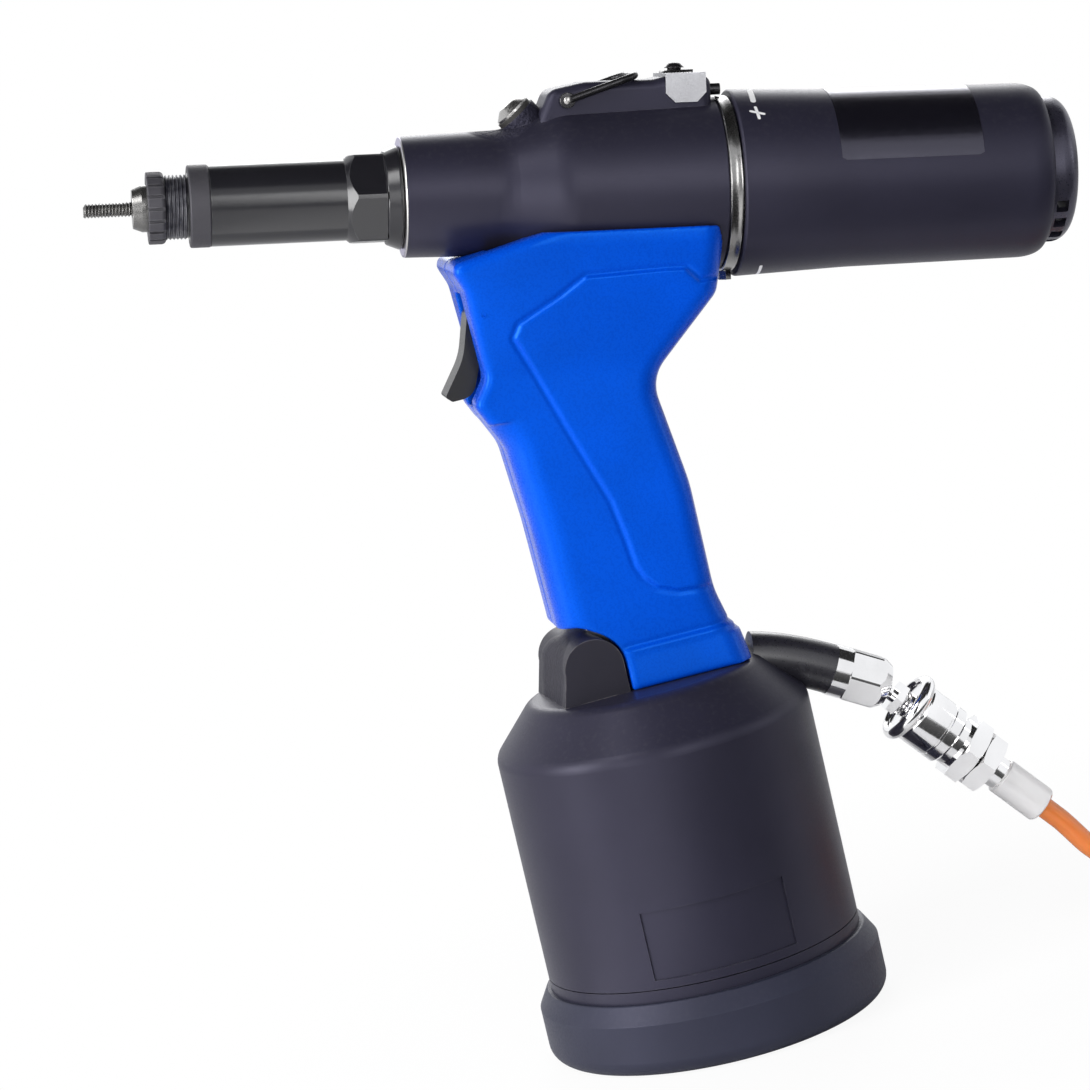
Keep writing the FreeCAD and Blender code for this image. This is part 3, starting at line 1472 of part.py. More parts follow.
def ball_centre():
    """Centre of the swivel ball."""
    slope = math.radians(inlet_slope)
    return elbow_end_x + ball_at * math.cos(slope), elbow_end_z + ball_at * math.sin(slope)


def on_coupler(shape):
    """Place a piece drawn along X from the ball's centre on the coupler's axis."""
    x, z = ball_centre()
    return along(shape, x, z, coupler_slope)


def make_coupler():
    """Swivel plug, quick coupler with its release sleeve, and the hose nut."""
    ball = Part.makeSphere(ball_r, Vector(0, 0, 0))
    plug = ball.fuse(rod(0, plug_collar_from, plug_neck_r))
    plug = plug.fuse(hexagon(plug_collar_from, plug_collar_to, 2 * plug_collar_r * math.cos(math.pi / 6)))
    plug = plug.fuse(rod(plug_collar_to, plug_nipple_to, plug_nipple_r))
    save("swivel_plug", on_coupler(plug.removeSplitter()))
    body = rod(coupler_front, coupler_hex_from, coupler_tube_r)
    body = body.fuse(hex_nut(coupler_hex_from, coupler_hex_to, coupler_hex_flats))
    body = body.cut(rod(coupler_front - overrun, plug_nipple_to, plug_nipple_r + seat_gap))
    save("coupler_body", on_coupler(body))
    inner = coupler_tube_r + running_gap
    sleeve = turned([
        (release_front, inner), (release_front, release_bead_r, release_edge),
        (release_bead_to, release_bead_r, release_edge), (release_bead_to, release_r),
        (release_to, release_r, release_edge / 2), (release_to, inner),
    ])
    save("release_sleeve", on_coupler(sleeve))
    nut = hex_nut(hose_hex_from, hose_hex_to, hose_hex_flats)
    nut = nut.fuse(rod(coupler_hex_to, hose_ferrule_from, hose_neck_r))
    nut = nut.fuse(turned([
        (hose_ferrule_from, 0), (hose_ferrule_from, hose_ferrule_r, release_edge / 2),
        (hose_exit_at, hose_ferrule_r, release_edge), (hose_exit_at, 0),
    ]))
    save("hose_nut", on_coupler(nut.removeSplitter()))


def hex_nut(x_from, x_to, flats):
    """Six-sided nut along X with its corners chamfered at both faces."""
    corner_r = flats / 2 / math.cos(math.pi / 6)
    drop = corner_r - flats / 2
    rounding = turned([
        (x_from, 0), (x_from, flats / 2), (x_from + drop / 2, corner_r),
        (x_to - drop / 2, corner_r), (x_to, flats / 2), (x_to, 0),
    ])
    return hexagon(x_from, x_to, flats).common(rounding)


# Air hose


def hose_exit():
    """Centre of the hose nut's end face and the way the hose leaves it."""
    x, z = ball_centre()
    slope = math.radians(coupler_slope)
    heading = Vector(math.cos(slope), 0, math.sin(slope))
    return Vector(x, 0, z) + heading * hose_exit_at, heading


def route_edges(points):
    """Straight runs with arcs as large as the shorter run beside each point allows."""
    radii = [0]
    for before, point, after in zip(points, points[1:], points[2:]):
        run = min((point - before).Length, (after - point).Length)
        turn = (point - before).getAngle(after - point)
        radii.append(hose_arc_share * run / math.tan(turn / 2))
    radii.append(0)
    print("hose radii", [round(r, 1) for r in radii[1:-1]])
    return rounded_edges(points, radii, False)


def coil_steps():
    """Radius and height of the coil at each half turn, inwards below and outwards on top."""
    pitch = 2 * hose_r + coil_gap
    low = hose_r + hose_floor_gap
    inner_r = coil_r - coil_half_turns_in * pitch / 2
    steps = [(coil_r - i * pitch / 2, low) for i in range(coil_half_turns_in + 1)]
    steps.append((inner_r - coil_climb_in, low + pitch))
    steps += [(inner_r + i * pitch / 2, low + pitch) for i in range(1, coil_half_turns_out + 1)]
    return steps


def coil_places(first, forward):
    """Points and headings of the coil, one for each half turn, then the tail's quarter turns."""
    inward = Vector(-forward.y, forward.x, 0)
    centre = first + inward * coil_r
    centre.z = 0
    places = []
    side = -1
    for radius, height in coil_steps():
        place = centre + inward * (side * radius) + Vector(0, 0, height)
        places.append((place, forward * -side))
        side = -side
    # The tail comes down beside the coil, so that the plug lies on the floor
    radius, height = coil_steps()[-1]
    floor = end_plug_hex_flats / 2 / math.cos(math.pi / 6) + hose_floor_gap
    beside = centre + forward * (side * (radius + coil_tail_out)) + Vector(0, 0, height)
    places.append((beside, inward * side))
    behind = centre + inward * (side * (radius + 2 * coil_tail_out)) + Vector(0, 0, floor)
    places.append((behind, forward * -side))
    return places


def make_hose():
    """Hose from the nut to the floor, its coil and the plug on its far end."""
    exit_point, heading = hose_exit()
    turn = math.radians(coil_start_heading)
    forward = Vector(math.cos(turn), math.sin(turn), 0)
    points = [exit_point, exit_point + heading * hose_first_run]
    points += [Vector(exit_point.x + p[0], p[1], p[2]) for p in hose_points]
    points.append(points[-1] + forward * coil_start_run)
    edges = route_edges(points)
    save("air_hose", swept_tube(edges, hose_r))
    print_tube("air_hose", edges)
    places = coil_places(points[-1], forward)
    coil_edges = []
    for (start, heading_start), (end, heading_end) in zip(places, places[1:]):
        coil_edges += biarc(start, heading_start, end, heading_end)
    end, end_heading = places[-1]
    straight_end = end + end_heading * 2 * hose_r
    coil_edges.append(Part.LineSegment(end, straight_end).toShape())
    save("hose_coil", swept_tube(coil_edges, hose_r))
    print_tube("hose_coil", coil_edges)
    print("coil self gap", round(coil_self_gap(coil_edges), 2))
    plug = hex_nut(0, end_plug_hex_length, end_plug_hex_flats)
    groove_at = end_plug_length - 2 * end_plug_groove
    plug = plug.fuse(turned([
        (end_plug_hex_length / 2, 0), (end_plug_hex_length / 2, end_plug_r),
        (end_plug_length / 2, end_plug_r), (end_plug_length / 2, end_plug_nipple_r),
        (groove_at, end_plug_nipple_r), (groove_at, end_plug_groove_r),
        (groove_at + end_plug_groove, end_plug_groove_r),
        (groove_at + end_plug_groove, end_plug_nipple_r), (end_plug_length, end_plug_nipple_r),
        (end_plug_length, 0),
    ]))
    angle = math.degrees(math.atan2(end_heading.y, end_heading.x))
    plug.rotate(Vector(0, 0, 0), Vector(0, 0, 1), angle)
    plug.translate(straight_end)
    save("hose_end_plug", plug)


def print_tube(name, edges):
    """Print a tube's length, and its volume beside its section times its length."""
    length = sum(edge.Length for edge in edges)
    print(name, "length", round(length, 1), "volume", round(PARTS[name].Volume),
          "section times length", round(math.pi * hose_r ** 2 * length))


def coil_self_gap(edges):
    """Least gap between turns of the coil, measured on points along its centre line."""
    samples = []
    travelled = 0
    for edge in edges:
        for i in range(gap_checks_per_arc):
            share = i / gap_checks_per_arc
            at = edge.FirstParameter + share * (edge.LastParameter - edge.FirstParameter)
            samples.append((travelled + share * edge.Length, edge.valueAt(at)))
        travelled += edge.Length
    least = travelled
    for i, (place_a, a) in enumerate(samples):
        for place_b, b in samples[i + 1:]:
            if place_b - place_a > 2 * coil_r:
                least = min(least, (a - b).Length - 2 * hose_r)
    return least


def build():
    """Make every sub-part and write it to its own file."""
    make_mandrel()
    make_anvil()
    make_nose_housing()
    make_pull_unit()
    make_glands()
    make_head()
    make_valve_block()
    make_block_hardware()
    make_stroke_adjuster()
    make_gear_case()
    make_carrier()
    make_motor()
    make_handle_core()
    make_grip()
    make_trigger()
    make_valve()
    make_air_cylinder()
    make_air_piston()
    make_foot()
    make_inlet()
    make_coupler()
    make_hose()
    os.makedirs("parts", exist_ok=True)
    for name, shape in PARTS.items():
        shape.exportStep("parts/%s.step" % name)
        print("%-20s solids %d valid %s volume %.1f" % (
            name, len(shape.Solids), shape.isValid(), shape.Volume))
    print(len(PARTS), "sub-parts")


build()
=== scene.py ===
"""Visual model of an air-hydraulic rivet gun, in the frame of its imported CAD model.

Sizes are named in millimetres, as on a drawing, and turned into metres where geometry is made.
The row frame has its origin at the centre of the base's underside, +Z up along the air
cylinder, -X towards the nose and -Y towards the camera.
"""

import logging
import math
from dataclasses import dataclass
from enum import Enum

import bmesh
import bpy
import numpy as np
from mathutils import Matrix, Vector
from mathutils.bvhtree import BVHTree


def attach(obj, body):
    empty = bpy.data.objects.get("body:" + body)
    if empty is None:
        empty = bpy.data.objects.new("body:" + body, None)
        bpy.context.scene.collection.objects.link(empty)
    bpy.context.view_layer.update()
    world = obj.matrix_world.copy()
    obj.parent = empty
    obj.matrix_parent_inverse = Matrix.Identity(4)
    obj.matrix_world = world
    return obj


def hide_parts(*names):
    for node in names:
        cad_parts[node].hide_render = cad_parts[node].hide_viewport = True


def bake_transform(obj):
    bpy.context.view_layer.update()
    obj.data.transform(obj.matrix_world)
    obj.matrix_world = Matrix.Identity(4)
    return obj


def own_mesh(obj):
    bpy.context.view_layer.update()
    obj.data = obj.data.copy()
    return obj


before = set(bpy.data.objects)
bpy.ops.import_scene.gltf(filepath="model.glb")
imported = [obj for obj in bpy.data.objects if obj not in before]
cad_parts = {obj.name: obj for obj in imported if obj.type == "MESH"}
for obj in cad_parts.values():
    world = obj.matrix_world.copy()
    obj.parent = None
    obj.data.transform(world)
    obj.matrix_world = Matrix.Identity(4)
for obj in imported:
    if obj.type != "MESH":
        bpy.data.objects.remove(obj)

log = logging.getLogger("rivet_gun")
MM = 0.001
MERGE_DISTANCE = 0.01 * MM
Triple = tuple[float, float, float]
Rings = tuple[tuple[float, float], ...]
Socket = bpy.types.NodeSocket


class Grain(Enum):
    """Kinds of surface texture, each with how much finer it is along the X axis."""

    CAST = ("cast", 1.0)
    TURNED = ("turned", 6.0)
    MOULDED = ("moulded", 1.0)
    PLATED = ("plated", 1.0)

    @property
    def stretch(self) -> Triple:
        """Scale of the texture along each axis."""
        return (self.value[1], 1.0, 1.0)


@dataclass(frozen=True)
class Place:
    """An axis system of the object.

    Args:
        origin: where the local origin lies in the row frame, in millimetres.
        slope: degrees that the local X axis rises from +X.
    """

    origin: Triple = (0.0, 0.0, 0.0)
    slope: float = 0.0

    def matrix(self) -> Matrix:
        """From local millimetres to metres in the row frame."""
        turn = Matrix.Rotation(-math.radians(self.slope), 4, "Y")
        return Matrix.Scale(MM, 4) @ Matrix.Translation(Vector(self.origin)) @ turn

    def point(self, x: float, y: float, z: float) -> Vector:
        """A local point in metres in the row frame."""
        return self.matrix() @ Vector((x, y, z))

    def heading(self) -> Vector:
        """Direction of the local X axis."""
        return (self.point(1.0, 0.0, 0.0) - self.point(0.0, 0.0, 0.0)).normalized()


ROW = Place()
BARREL = Place((0.0, 0.0, 237.2), -11.0)
COUPLER = Place((63.41, 0.0, 82.19), -50.0)


@dataclass(frozen=True)
class Band:
    """A stretch of a piece with its own colour, such as a bare rim.

    Args:
        place: axis system that the stretch is measured in.
        start: where it starts along the local X axis, in millimetres.
        end: where it ends.
        color: its colour, linear.
        roughness: its roughness.
        metallic: its metallic value.
    """

    place: Place
    start: float
    end: float
    color: Triple
    roughness: float
    metallic: float = 1.0


@dataclass(frozen=True)
class Patch:
    """A round patch of coarse cast texture.

    Args:
        centre: its middle in the row frame, in millimetres.
        radius: its radius.
    """

    centre: Triple
    radius: float


@dataclass(frozen=True)
class Finish:
    """What one material looks like.

    Args:
        slot: the record's material slot, not used.
        color: base colour, linear.
        worn: colour of rubbed edges, linear; on the relief block it is also a painted highlight along the
            edges.
        roughness: lowest and highest roughness.
        metallic: metallic value.
        grain: kind of texture.
        grain_mm: size of the texture's grains.
        bump: strength of the texture's relief.
        edge: how much the edges are rubbed, 0 to 1.
        glow: weight of light scattered inside.
        specular: level of the shader's specular reflection, 0.5 being plain.
        tint: colour of that reflection.
        dust: how much dust lies on what faces up.
        bands: stretches with another colour.
        patches: patches of coarse texture.
    """

    slot: str
    color: Triple
    worn: Triple
    roughness: tuple[float, float]
    metallic: float = 0.0
    grain: Grain = Grain.MOULDED
    grain_mm: float = 0.5
    bump: float = 0.1
    edge: float = 0.3
    glow: float = 0.0
    specular: float = 0.5
    tint: Triple = (1.0, 1.0, 1.0)
    dust: float = 0.05
    bands: tuple[Band, ...] = ()
    patches: tuple[Patch, ...] = ()


COLD = (0.80, 0.78, 1.0)
HEAD_RIM = Band(BARREL, -35.4, -34.55, (0.55, 0.54, 0.52), 0.30)
FERRULE = Band(COUPLER, 45.2, 60.0, (0.90, 0.89, 0.89), 0.34, 0.2)
OIL_BOSS = Patch((-2.0, 0.0, 257.5), 11.0)
BLOCK_FRONT = Patch((-29.0, -2.0, 108.0), 15.0)

FINISHES = {
    "satin_charcoal": Finish(
        "satin_charcoal", (0.0195, 0.0185, 0.0325), (0.10, 0.095, 0.11), (0.36, 0.46),
        grain=Grain.CAST, grain_mm=0.40, bump=0.06, edge=0.25, specular=0.30, tint=COLD,
    ),
    "cast_head": Finish(
        "satin_charcoal", (0.0195, 0.0185, 0.0325), (0.12, 0.115, 0.13), (0.36, 0.46),
        grain=Grain.CAST, grain_mm=0.40, bump=0.06, specular=0.38, tint=COLD, bands=(HEAD_RIM,),
        patches=(OIL_BOSS,),
    ),
    # The relief block's light rubbed-edge colour is partly wear and partly a painted highlight along its
    # edges.
    "cast_block": Finish(
        "satin_charcoal", (0.025, 0.024, 0.032), (0.24, 0.23, 0.24), (0.40, 0.52),
        grain=Grain.CAST, grain_mm=0.45, edge=0.6, specular=0.20, tint=COLD,
        patches=(BLOCK_FRONT,),
    ),
    "black_cap": Finish(
        "black_cap", (0.023, 0.022, 0.034), (0.08, 0.078, 0.09), (0.26, 0.36), bump=0.03,
        specular=0.85, tint=COLD,
    ),
    "black_gloss": Finish(
        "black_gloss", (0.0120, 0.0118, 0.0150), (0.12, 0.12, 0.125), (0.17, 0.25),
        grain=Grain.TURNED, grain_mm=0.6, bump=0.03, edge=0.5, dust=0.0,
    ),
    "grey_steel": Finish(
        "grey_steel", (0.055, 0.053, 0.062), (0.20, 0.20, 0.21), (0.44, 0.60), metallic=0.2,
        grain=Grain.CAST, edge=0.5, specular=0.35,
    ),
    "dark_steel": Finish(
        "dark_steel", (0.17, 0.167, 0.163), (0.62, 0.61, 0.59), (0.20, 0.34), metallic=0.9,
        grain=Grain.TURNED, grain_mm=0.4, bump=0.06, edge=0.6,
    ),
    "thread_steel": Finish(
        "black_gloss", (0.020, 0.019, 0.030), (0.30, 0.30, 0.32), (0.26, 0.40), metallic=0.4,
        grain=Grain.TURNED, grain_mm=0.4, bump=0.06, edge=0.7,
    ),
    "polished_ring": Finish(
        "dark_steel", (0.34, 0.335, 0.33), (0.85, 0.84, 0.82), (0.14, 0.34), metallic=1.0,
        grain=Grain.TURNED, grain_mm=0.25, bump=0.05, edge=0.8, dust=0.0,
    ),
    "bare_steel": Finish(
        "bare_steel", (0.46, 0.45, 0.44), (0.72, 0.71, 0.70), (0.24, 0.36), metallic=1.0,
        grain=Grain.CAST, bump=0.12,
    ),
    "bare_aluminium": Finish(
        "bare_aluminium", (0.62, 0.62, 0.63), (0.78, 0.78, 0.79), (0.28, 0.40), metallic=1.0,
        grain=Grain.TURNED, grain_mm=0.4, bump=0.06,
    ),
    "brass_bush": Finish(
        "brass_bush", (0.60, 0.42, 0.16), (0.78, 0.62, 0.32), (0.26, 0.38), metallic=1.0,
        grain=Grain.TURNED, grain_mm=0.4, bump=0.06,
    ),
    "satin_silver": Finish(
        "satin_silver", (0.42, 0.42, 0.44), (0.72, 0.72, 0.74), (0.34, 0.48), metallic=1.0,
        grain=Grain.CAST, bump=0.06, edge=0.5,
    ),
    "dark_wire": Finish(
        "dark_wire", (0.030, 0.029, 0.032), (0.34, 0.33, 0.33), (0.24, 0.38), metallic=0.7,
        grain=Grain.CAST, grain_mm=0.4, bump=0.06, edge=0.5,
    ),
    "dark_fibre": Finish(
        "dark_fibre", (0.030, 0.028, 0.027), (0.12, 0.11, 0.10), (0.55, 0.70), grain_mm=0.3,
        bump=0.12,
    ),
    "phenolic": Finish(
        "phenolic", (0.20, 0.09, 0.035), (0.32, 0.17, 0.08), (0.45, 0.60), grain_mm=0.3, edge=0.2,
    ),
    "blue_shell": Finish(
        "blue_shell", (0.0000, 0.066, 0.60), (0.004, 0.17, 0.92), (0.24, 0.32), grain_mm=0.6,
        bump=0.008, edge=0.0, specular=0.60, tint=(0.05, 0.40, 1.0), dust=0.0,
    ),
    "black_trigger": Finish(
        "black_trigger", (0.008, 0.008, 0.009), (0.06, 0.06, 0.065), (0.28, 0.40), grain_mm=0.4,
        bump=0.05, edge=0.4, specular=0.35,
    ),
    "black_rubber": Finish(
        "black_rubber", (0.021, 0.020, 0.028), (0.06, 0.06, 0.07), (0.26, 0.36), grain=Grain.CAST,
        grain_mm=0.6, bump=0.04, edge=0.2, specular=0.75,
    ),
    "boot_rubber": Finish(
        "boot_rubber", (0.021, 0.023, 0.040), (0.06, 0.064, 0.09), (0.42, 0.54), grain=Grain.CAST,
        grain_mm=0.7, bump=0.08, specular=0.35, tint=COLD,
    ),
    "chrome": Finish(
        "chrome", (0.97, 0.965, 0.965), (0.98, 0.98, 0.98), (0.06, 0.14), metallic=1.0,
        grain=Grain.PLATED, grain_mm=0.8, bump=0.01, edge=0.2, dust=0.0,
    ),
    "hose_nut_chrome": Finish(
        "chrome", (0.97, 0.965, 0.965), (0.98, 0.98, 0.98), (0.06, 0.14), metallic=1.0,
        grain=Grain.PLATED, grain_mm=0.8, bump=0.01, edge=0.2, dust=0.0, bands=(FERRULE,),
    ),
    "orange_hose": Finish(
        "orange_hose", (0.94, 0.27, 0.060), (0.98, 0.55, 0.30), (0.14, 0.24), grain=Grain.PLATED,
        grain_mm=1.0, bump=0.01, edge=0.0, glow=0.34, dust=0.0,
    ),
    "label_film": Finish(
        "black_cap", (0.0050, 0.0046, 0.0078), (0.02, 0.02, 0.02), (0.20, 0.26),
        grain=Grain.PLATED, grain_mm=1.5, bump=0.0, edge=0.1, specular=1.0, tint=COLD, dust=0.0,
    ),
    "white_paint": Finish(
        "satin_silver", (0.97, 0.97, 0.98), (0.90, 0.90, 0.91), (0.45, 0.60), grain=Grain.CAST,
        grain_mm=0.3, bump=0.06, edge=0.2, dust=0.0,
    ),
}

NODE_FINISHES = {
    "head_casting": "cast_head",
    "relief_block": "cast_block",
    "hose_nut": "hose_nut_chrome",
    "thread_ring": "polished_ring",
    "oil_fill_screw": "bare_steel",
}


class Graph:
    """A node tree that is written one node at a time."""

    def __init__(self, tree: bpy.types.NodeTree) -> None:
        """Write into a tree."""
        self.tree = tree

    def node(self, kind: str, **settings: object) -> bpy.types.Node:
        """Add a node.

        Args:
            kind: the node's type.
            **settings: its properties by name.

        Returns:
            The node.
        """
        made = self.tree.nodes.new(kind)
        for name, value in settings.items():
            setattr(made, name, value)
        return made

    def feed(self, target: Socket, value: object) -> None:
        """Give a socket its value.

        Args:
            target: the socket.
            value: a socket to link to it, or its own value.
        """
        if isinstance(value, Socket):
            self.tree.links.new(value, target)
        else:
            target.default_value = value

    def math(self, operation: str, *values: object, clamp: bool = False) -> Socket:
        """Add a Math node.

        Args:
            operation: what it works out.
            *values: its inputs.
            clamp: whether the result is kept between 0 and 1.

        Returns:
            The result.
        """
        made = self.node("ShaderNodeMath", operation=operation, use_clamp=clamp)
        for socket, value in zip(made.inputs, values):
            self.feed(socket, value)
        return made.outputs[0]

    def vector(self, operation: str, first: object, second: object) -> bpy.types.Node:
        """Add a Vector Math node.

        Args:
            operation: what it works out.
            first: its first vector.
            second: its second vector.

        Returns:
            The node, whose output depends on the operation.
        """
        made = self.node("ShaderNodeVectorMath", operation=operation)
        self.feed(made.inputs[0], first)
        self.feed(made.inputs[1], second)
        return made

    def mix(self, share: object, first: object, second: object) -> Socket:
        """Mix two colours.

        Args:
            share: how much of the second is in the mix.
            first: the first colour.
            second: the second colour.

        Returns:
            The mixed colour.
        """
        made = self.node("ShaderNodeMix", data_type="RGBA")
        self.feed(made.inputs[0], share)
        for socket, value in ((made.inputs[6], first), (made.inputs[7], second)):
            self.feed(socket, (*value, 1.0) if isinstance(value, tuple) else value)
        return made.outputs[2]

    def blend(self, share: object, first: object, second: object) -> Socket:
        """Mix two values.

        Args:
            share: how much of the second is in the mix.
            first: the first value.
            second: the second value.

        Returns:
            The mixed value.
        """
        made = self.node("ShaderNodeMix", data_type="FLOAT")
        sockets = (made.inputs[0], made.inputs[2], made.inputs[3])
        for socket, value in zip(sockets, (share, first, second)):
            self.feed(socket, value)
        return made.outputs[0]

    def remap(self, value: object, source: tuple, target: tuple) -> Socket:
        """Map a value from one range to another, kept inside it.

        Args:
            value: the value.
            source: the range that it comes from.
            target: the range that it goes to.

        Returns:
            The mapped value.
        """
        made = self.node("ShaderNodeMapRange", clamp=True)
        for socket, item in zip(made.inputs, (value, *source, *target)):
            self.feed(socket, item)
        return made.outputs[0]

    def noise(self, vector: object, scale: object, detail: float) -> Socket:
        """Add a noise texture.

        Args:
            vector: place to look it up at.
            scale: grains along one metre.
            detail: how many finer layers it has.

        Returns:
            The noise, mostly between 0.3 and 0.7.
        """
        made = self.node("ShaderNodeTexNoise")
        self.feed(made.inputs["Vector"], vector)
        self.feed(made.inputs["Scale"], scale)
        made.inputs["Detail"].default_value = detail
        return made.outputs[0]

    def place(self) -> Socket:
        """Object coordinates, which are the row frame's metres."""
        return self.node("ShaderNodeTexCoord").outputs["Object"]

    def normal(self) -> Socket:
        """Direction that the surface faces."""
        return self.node("ShaderNodeNewGeometry").outputs["Normal"]


class ShaderGroups:
    """The shader node groups that the materials share.

    A noise is given by its grains along one metre and its number of finer layers. Lengths are
    metres.
    """

    FULL = (0.0, 1.0)
    RUB_RADIUS = 0.0004
    RUB_SAMPLES = 6
    RUB_BEND = (0.012, 0.09)
    RUB_NOISE = (260.0, 4.0)
    RUB_BREAKS = (0.40, 0.60)
    RUB_LEFT = (0.1, 1.0)
    GRAIN_SCALE = 2000.0
    GRAIN_DETAIL = 2.0
    GRAIN_HEIGHT = 0.0002
    BLOTCH_NOISE = (38.0, 5.0)
    BLOTCH_RANGE = (0.35, 0.65)
    DUST_NOISE = (700.0, 6.0)
    DUST_SPECKS = (0.52, 0.75)
    FACES_UP = (0.3, 1.0)
    CAST_NOISE = (420.0, 4.0)
    PITTED_NOISE = (1300.0, 3.0)
    COARSE_FADE = (0.75, 1.0)
    COARSE_HEIGHT = 0.0006
    COARSE_BUMP = 0.9

    def __init__(self) -> None:
        """Make the four groups."""
        self.edges = self._edges()
        self.grain = self._grain()
        self.dust = self._dust()
        self.coarse = self._coarse()

    @staticmethod
    def _start(name: str, inputs: dict[str, object], outputs: dict[str, str]) -> tuple:
        """Start a group with named inputs and outputs.

        Args:
            name: the group's name.
            inputs: default values by name.
            outputs: socket types by name.

        Returns:
            The group, its graph, its input node and its output node.
        """
        group = bpy.data.node_groups.new(name, "ShaderNodeTree")
        for label, value in inputs.items():
            kind = "NodeSocketVector" if isinstance(value, tuple) else "NodeSocketFloat"
            socket = group.interface.new_socket(label, in_out="INPUT", socket_type=kind)
            socket.default_value = value
        for label, kind in outputs.items():
            group.interface.new_socket(label, in_out="OUTPUT", socket_type=kind)
        graph = Graph(group)
        return group, graph, graph.node("NodeGroupInput"), graph.node("NodeGroupOutput")

    def _edges(self) -> bpy.types.NodeTree:
        """Mask of rubbed edges and of painted edge highlights: where a rounded normal leaves the true one,
        broken up by noise.

        Returns:
            The group.
        """
        group, graph, given, out = self._start(
            "Edge Wear And Highlight", {"Radius": self.RUB_RADIUS, "Amount": 0.3}, {"Mask": "NodeSocketFloat"}
        )
        rounded = graph.node("ShaderNodeBevel", samples=self.RUB_SAMPLES)
        graph.feed(rounded.inputs["Radius"], given.outputs["Radius"])
        alike = graph.vector("DOT_PRODUCT", rounded.outputs[0], graph.normal()).outputs["Value"]
        edge = graph.remap(graph.math("SUBTRACT", 1.0, alike), self.RUB_BEND, self.FULL)
        noise = graph.noise(graph.place(), *self.RUB_NOISE)
        worn = graph.math("MULTIPLY", edge, graph.remap(noise, self.RUB_BREAKS, self.RUB_LEFT))
        mask = graph.math("MULTIPLY", worn, given.outputs["Amount"], clamp=True)
        graph.feed(out.inputs["Mask"], mask)
        return group

    def _grain(self) -> bpy.types.NodeTree:
        """Fine relief and blotches of a surface, with grains that may be long across the barrel.

        Returns:
            The group.
        """
        group, graph, given, out = self._start(
            "Surface Grain",
            {"Scale": self.GRAIN_SCALE, "Bump": 0.1, "Stretch": (1.0, 1.0, 1.0)},
            {"Normal": "NodeSocketVector", "Blotch": "NodeSocketFloat", "Fine": "NodeSocketFloat"},
        )
        place = graph.place()
        stretched = graph.vector("MULTIPLY", place, given.outputs["Stretch"]).outputs[0]
        fine = graph.noise(stretched, given.outputs["Scale"], self.GRAIN_DETAIL)
        blotch = graph.noise(place, *self.BLOTCH_NOISE)
        bump = graph.node("ShaderNodeBump")
        bump.inputs["Distance"].default_value = self.GRAIN_HEIGHT
        graph.feed(bump.inputs["Strength"], given.outputs["Bump"])
        graph.feed(bump.inputs["Height"], fine)
        graph.feed(out.inputs["Normal"], bump.outputs[0])
        graph.feed(out.inputs["Blotch"], graph.remap(blotch, self.BLOTCH_RANGE, self.FULL))
        graph.feed(out.inputs["Fine"], fine)
        return group

    def _dust(self) -> bpy.types.NodeTree:
        """Mask of the thin dust that settles on what faces up.

        Returns:
            The group.
        """
        group, graph, given, out = self._start(
            "Settled Dust", {"Amount": 0.1}, {"Mask": "NodeSocketFloat"}
        )
        parts = graph.node("ShaderNodeSeparateXYZ")
        graph.feed(parts.inputs[0], graph.normal())
        up = graph.remap(parts.outputs["Z"], self.FACES_UP, self.FULL)
        noise = graph.noise(graph.place(), *self.DUST_NOISE)
        dusty = graph.math("MULTIPLY", up, graph.remap(noise, self.DUST_SPECKS, self.FULL))
        graph.feed(out.inputs["Mask"], graph.math("MULTIPLY", dusty, given.outputs["Amount"]))
        return group

    def _coarse(self) -> bpy.types.NodeTree:
        """A round patch of coarse cast texture on top of a given normal.

        Returns:
            The group.
        """
        group, graph, given, out = self._start(
            "Coarse Patch",
            {"Centre": (0.0, 0.0, 0.0), "Radius": 0.01, "Normal": (0.0, 0.0, 0.0)},
            {"Normal": "NodeSocketVector", "Mask": "NodeSocketFloat"},
        )
        place = graph.place()
        far = graph.vector("DISTANCE", place, given.outputs["Centre"]).outputs["Value"]
        share = graph.math("DIVIDE", far, given.outputs["Radius"])
        mask = graph.remap(share, self.COARSE_FADE, (1.0, 0.0))
        cast = graph.noise(place, *self.CAST_NOISE)
        rough = graph.math("ADD", cast, graph.noise(place, *self.PITTED_NOISE))
        bump = graph.node("ShaderNodeBump")
        bump.inputs["Distance"].default_value = self.COARSE_HEIGHT
        bump.inputs["Strength"].default_value = self.COARSE_BUMP
        graph.feed(bump.inputs["Height"], graph.math("MULTIPLY", rough, mask))
        graph.feed(bump.inputs["Normal"], given.outputs["Normal"])
        graph.feed(out.inputs["Normal"], bump.outputs[0])
        graph.feed(out.inputs["Mask"], mask)
        return group


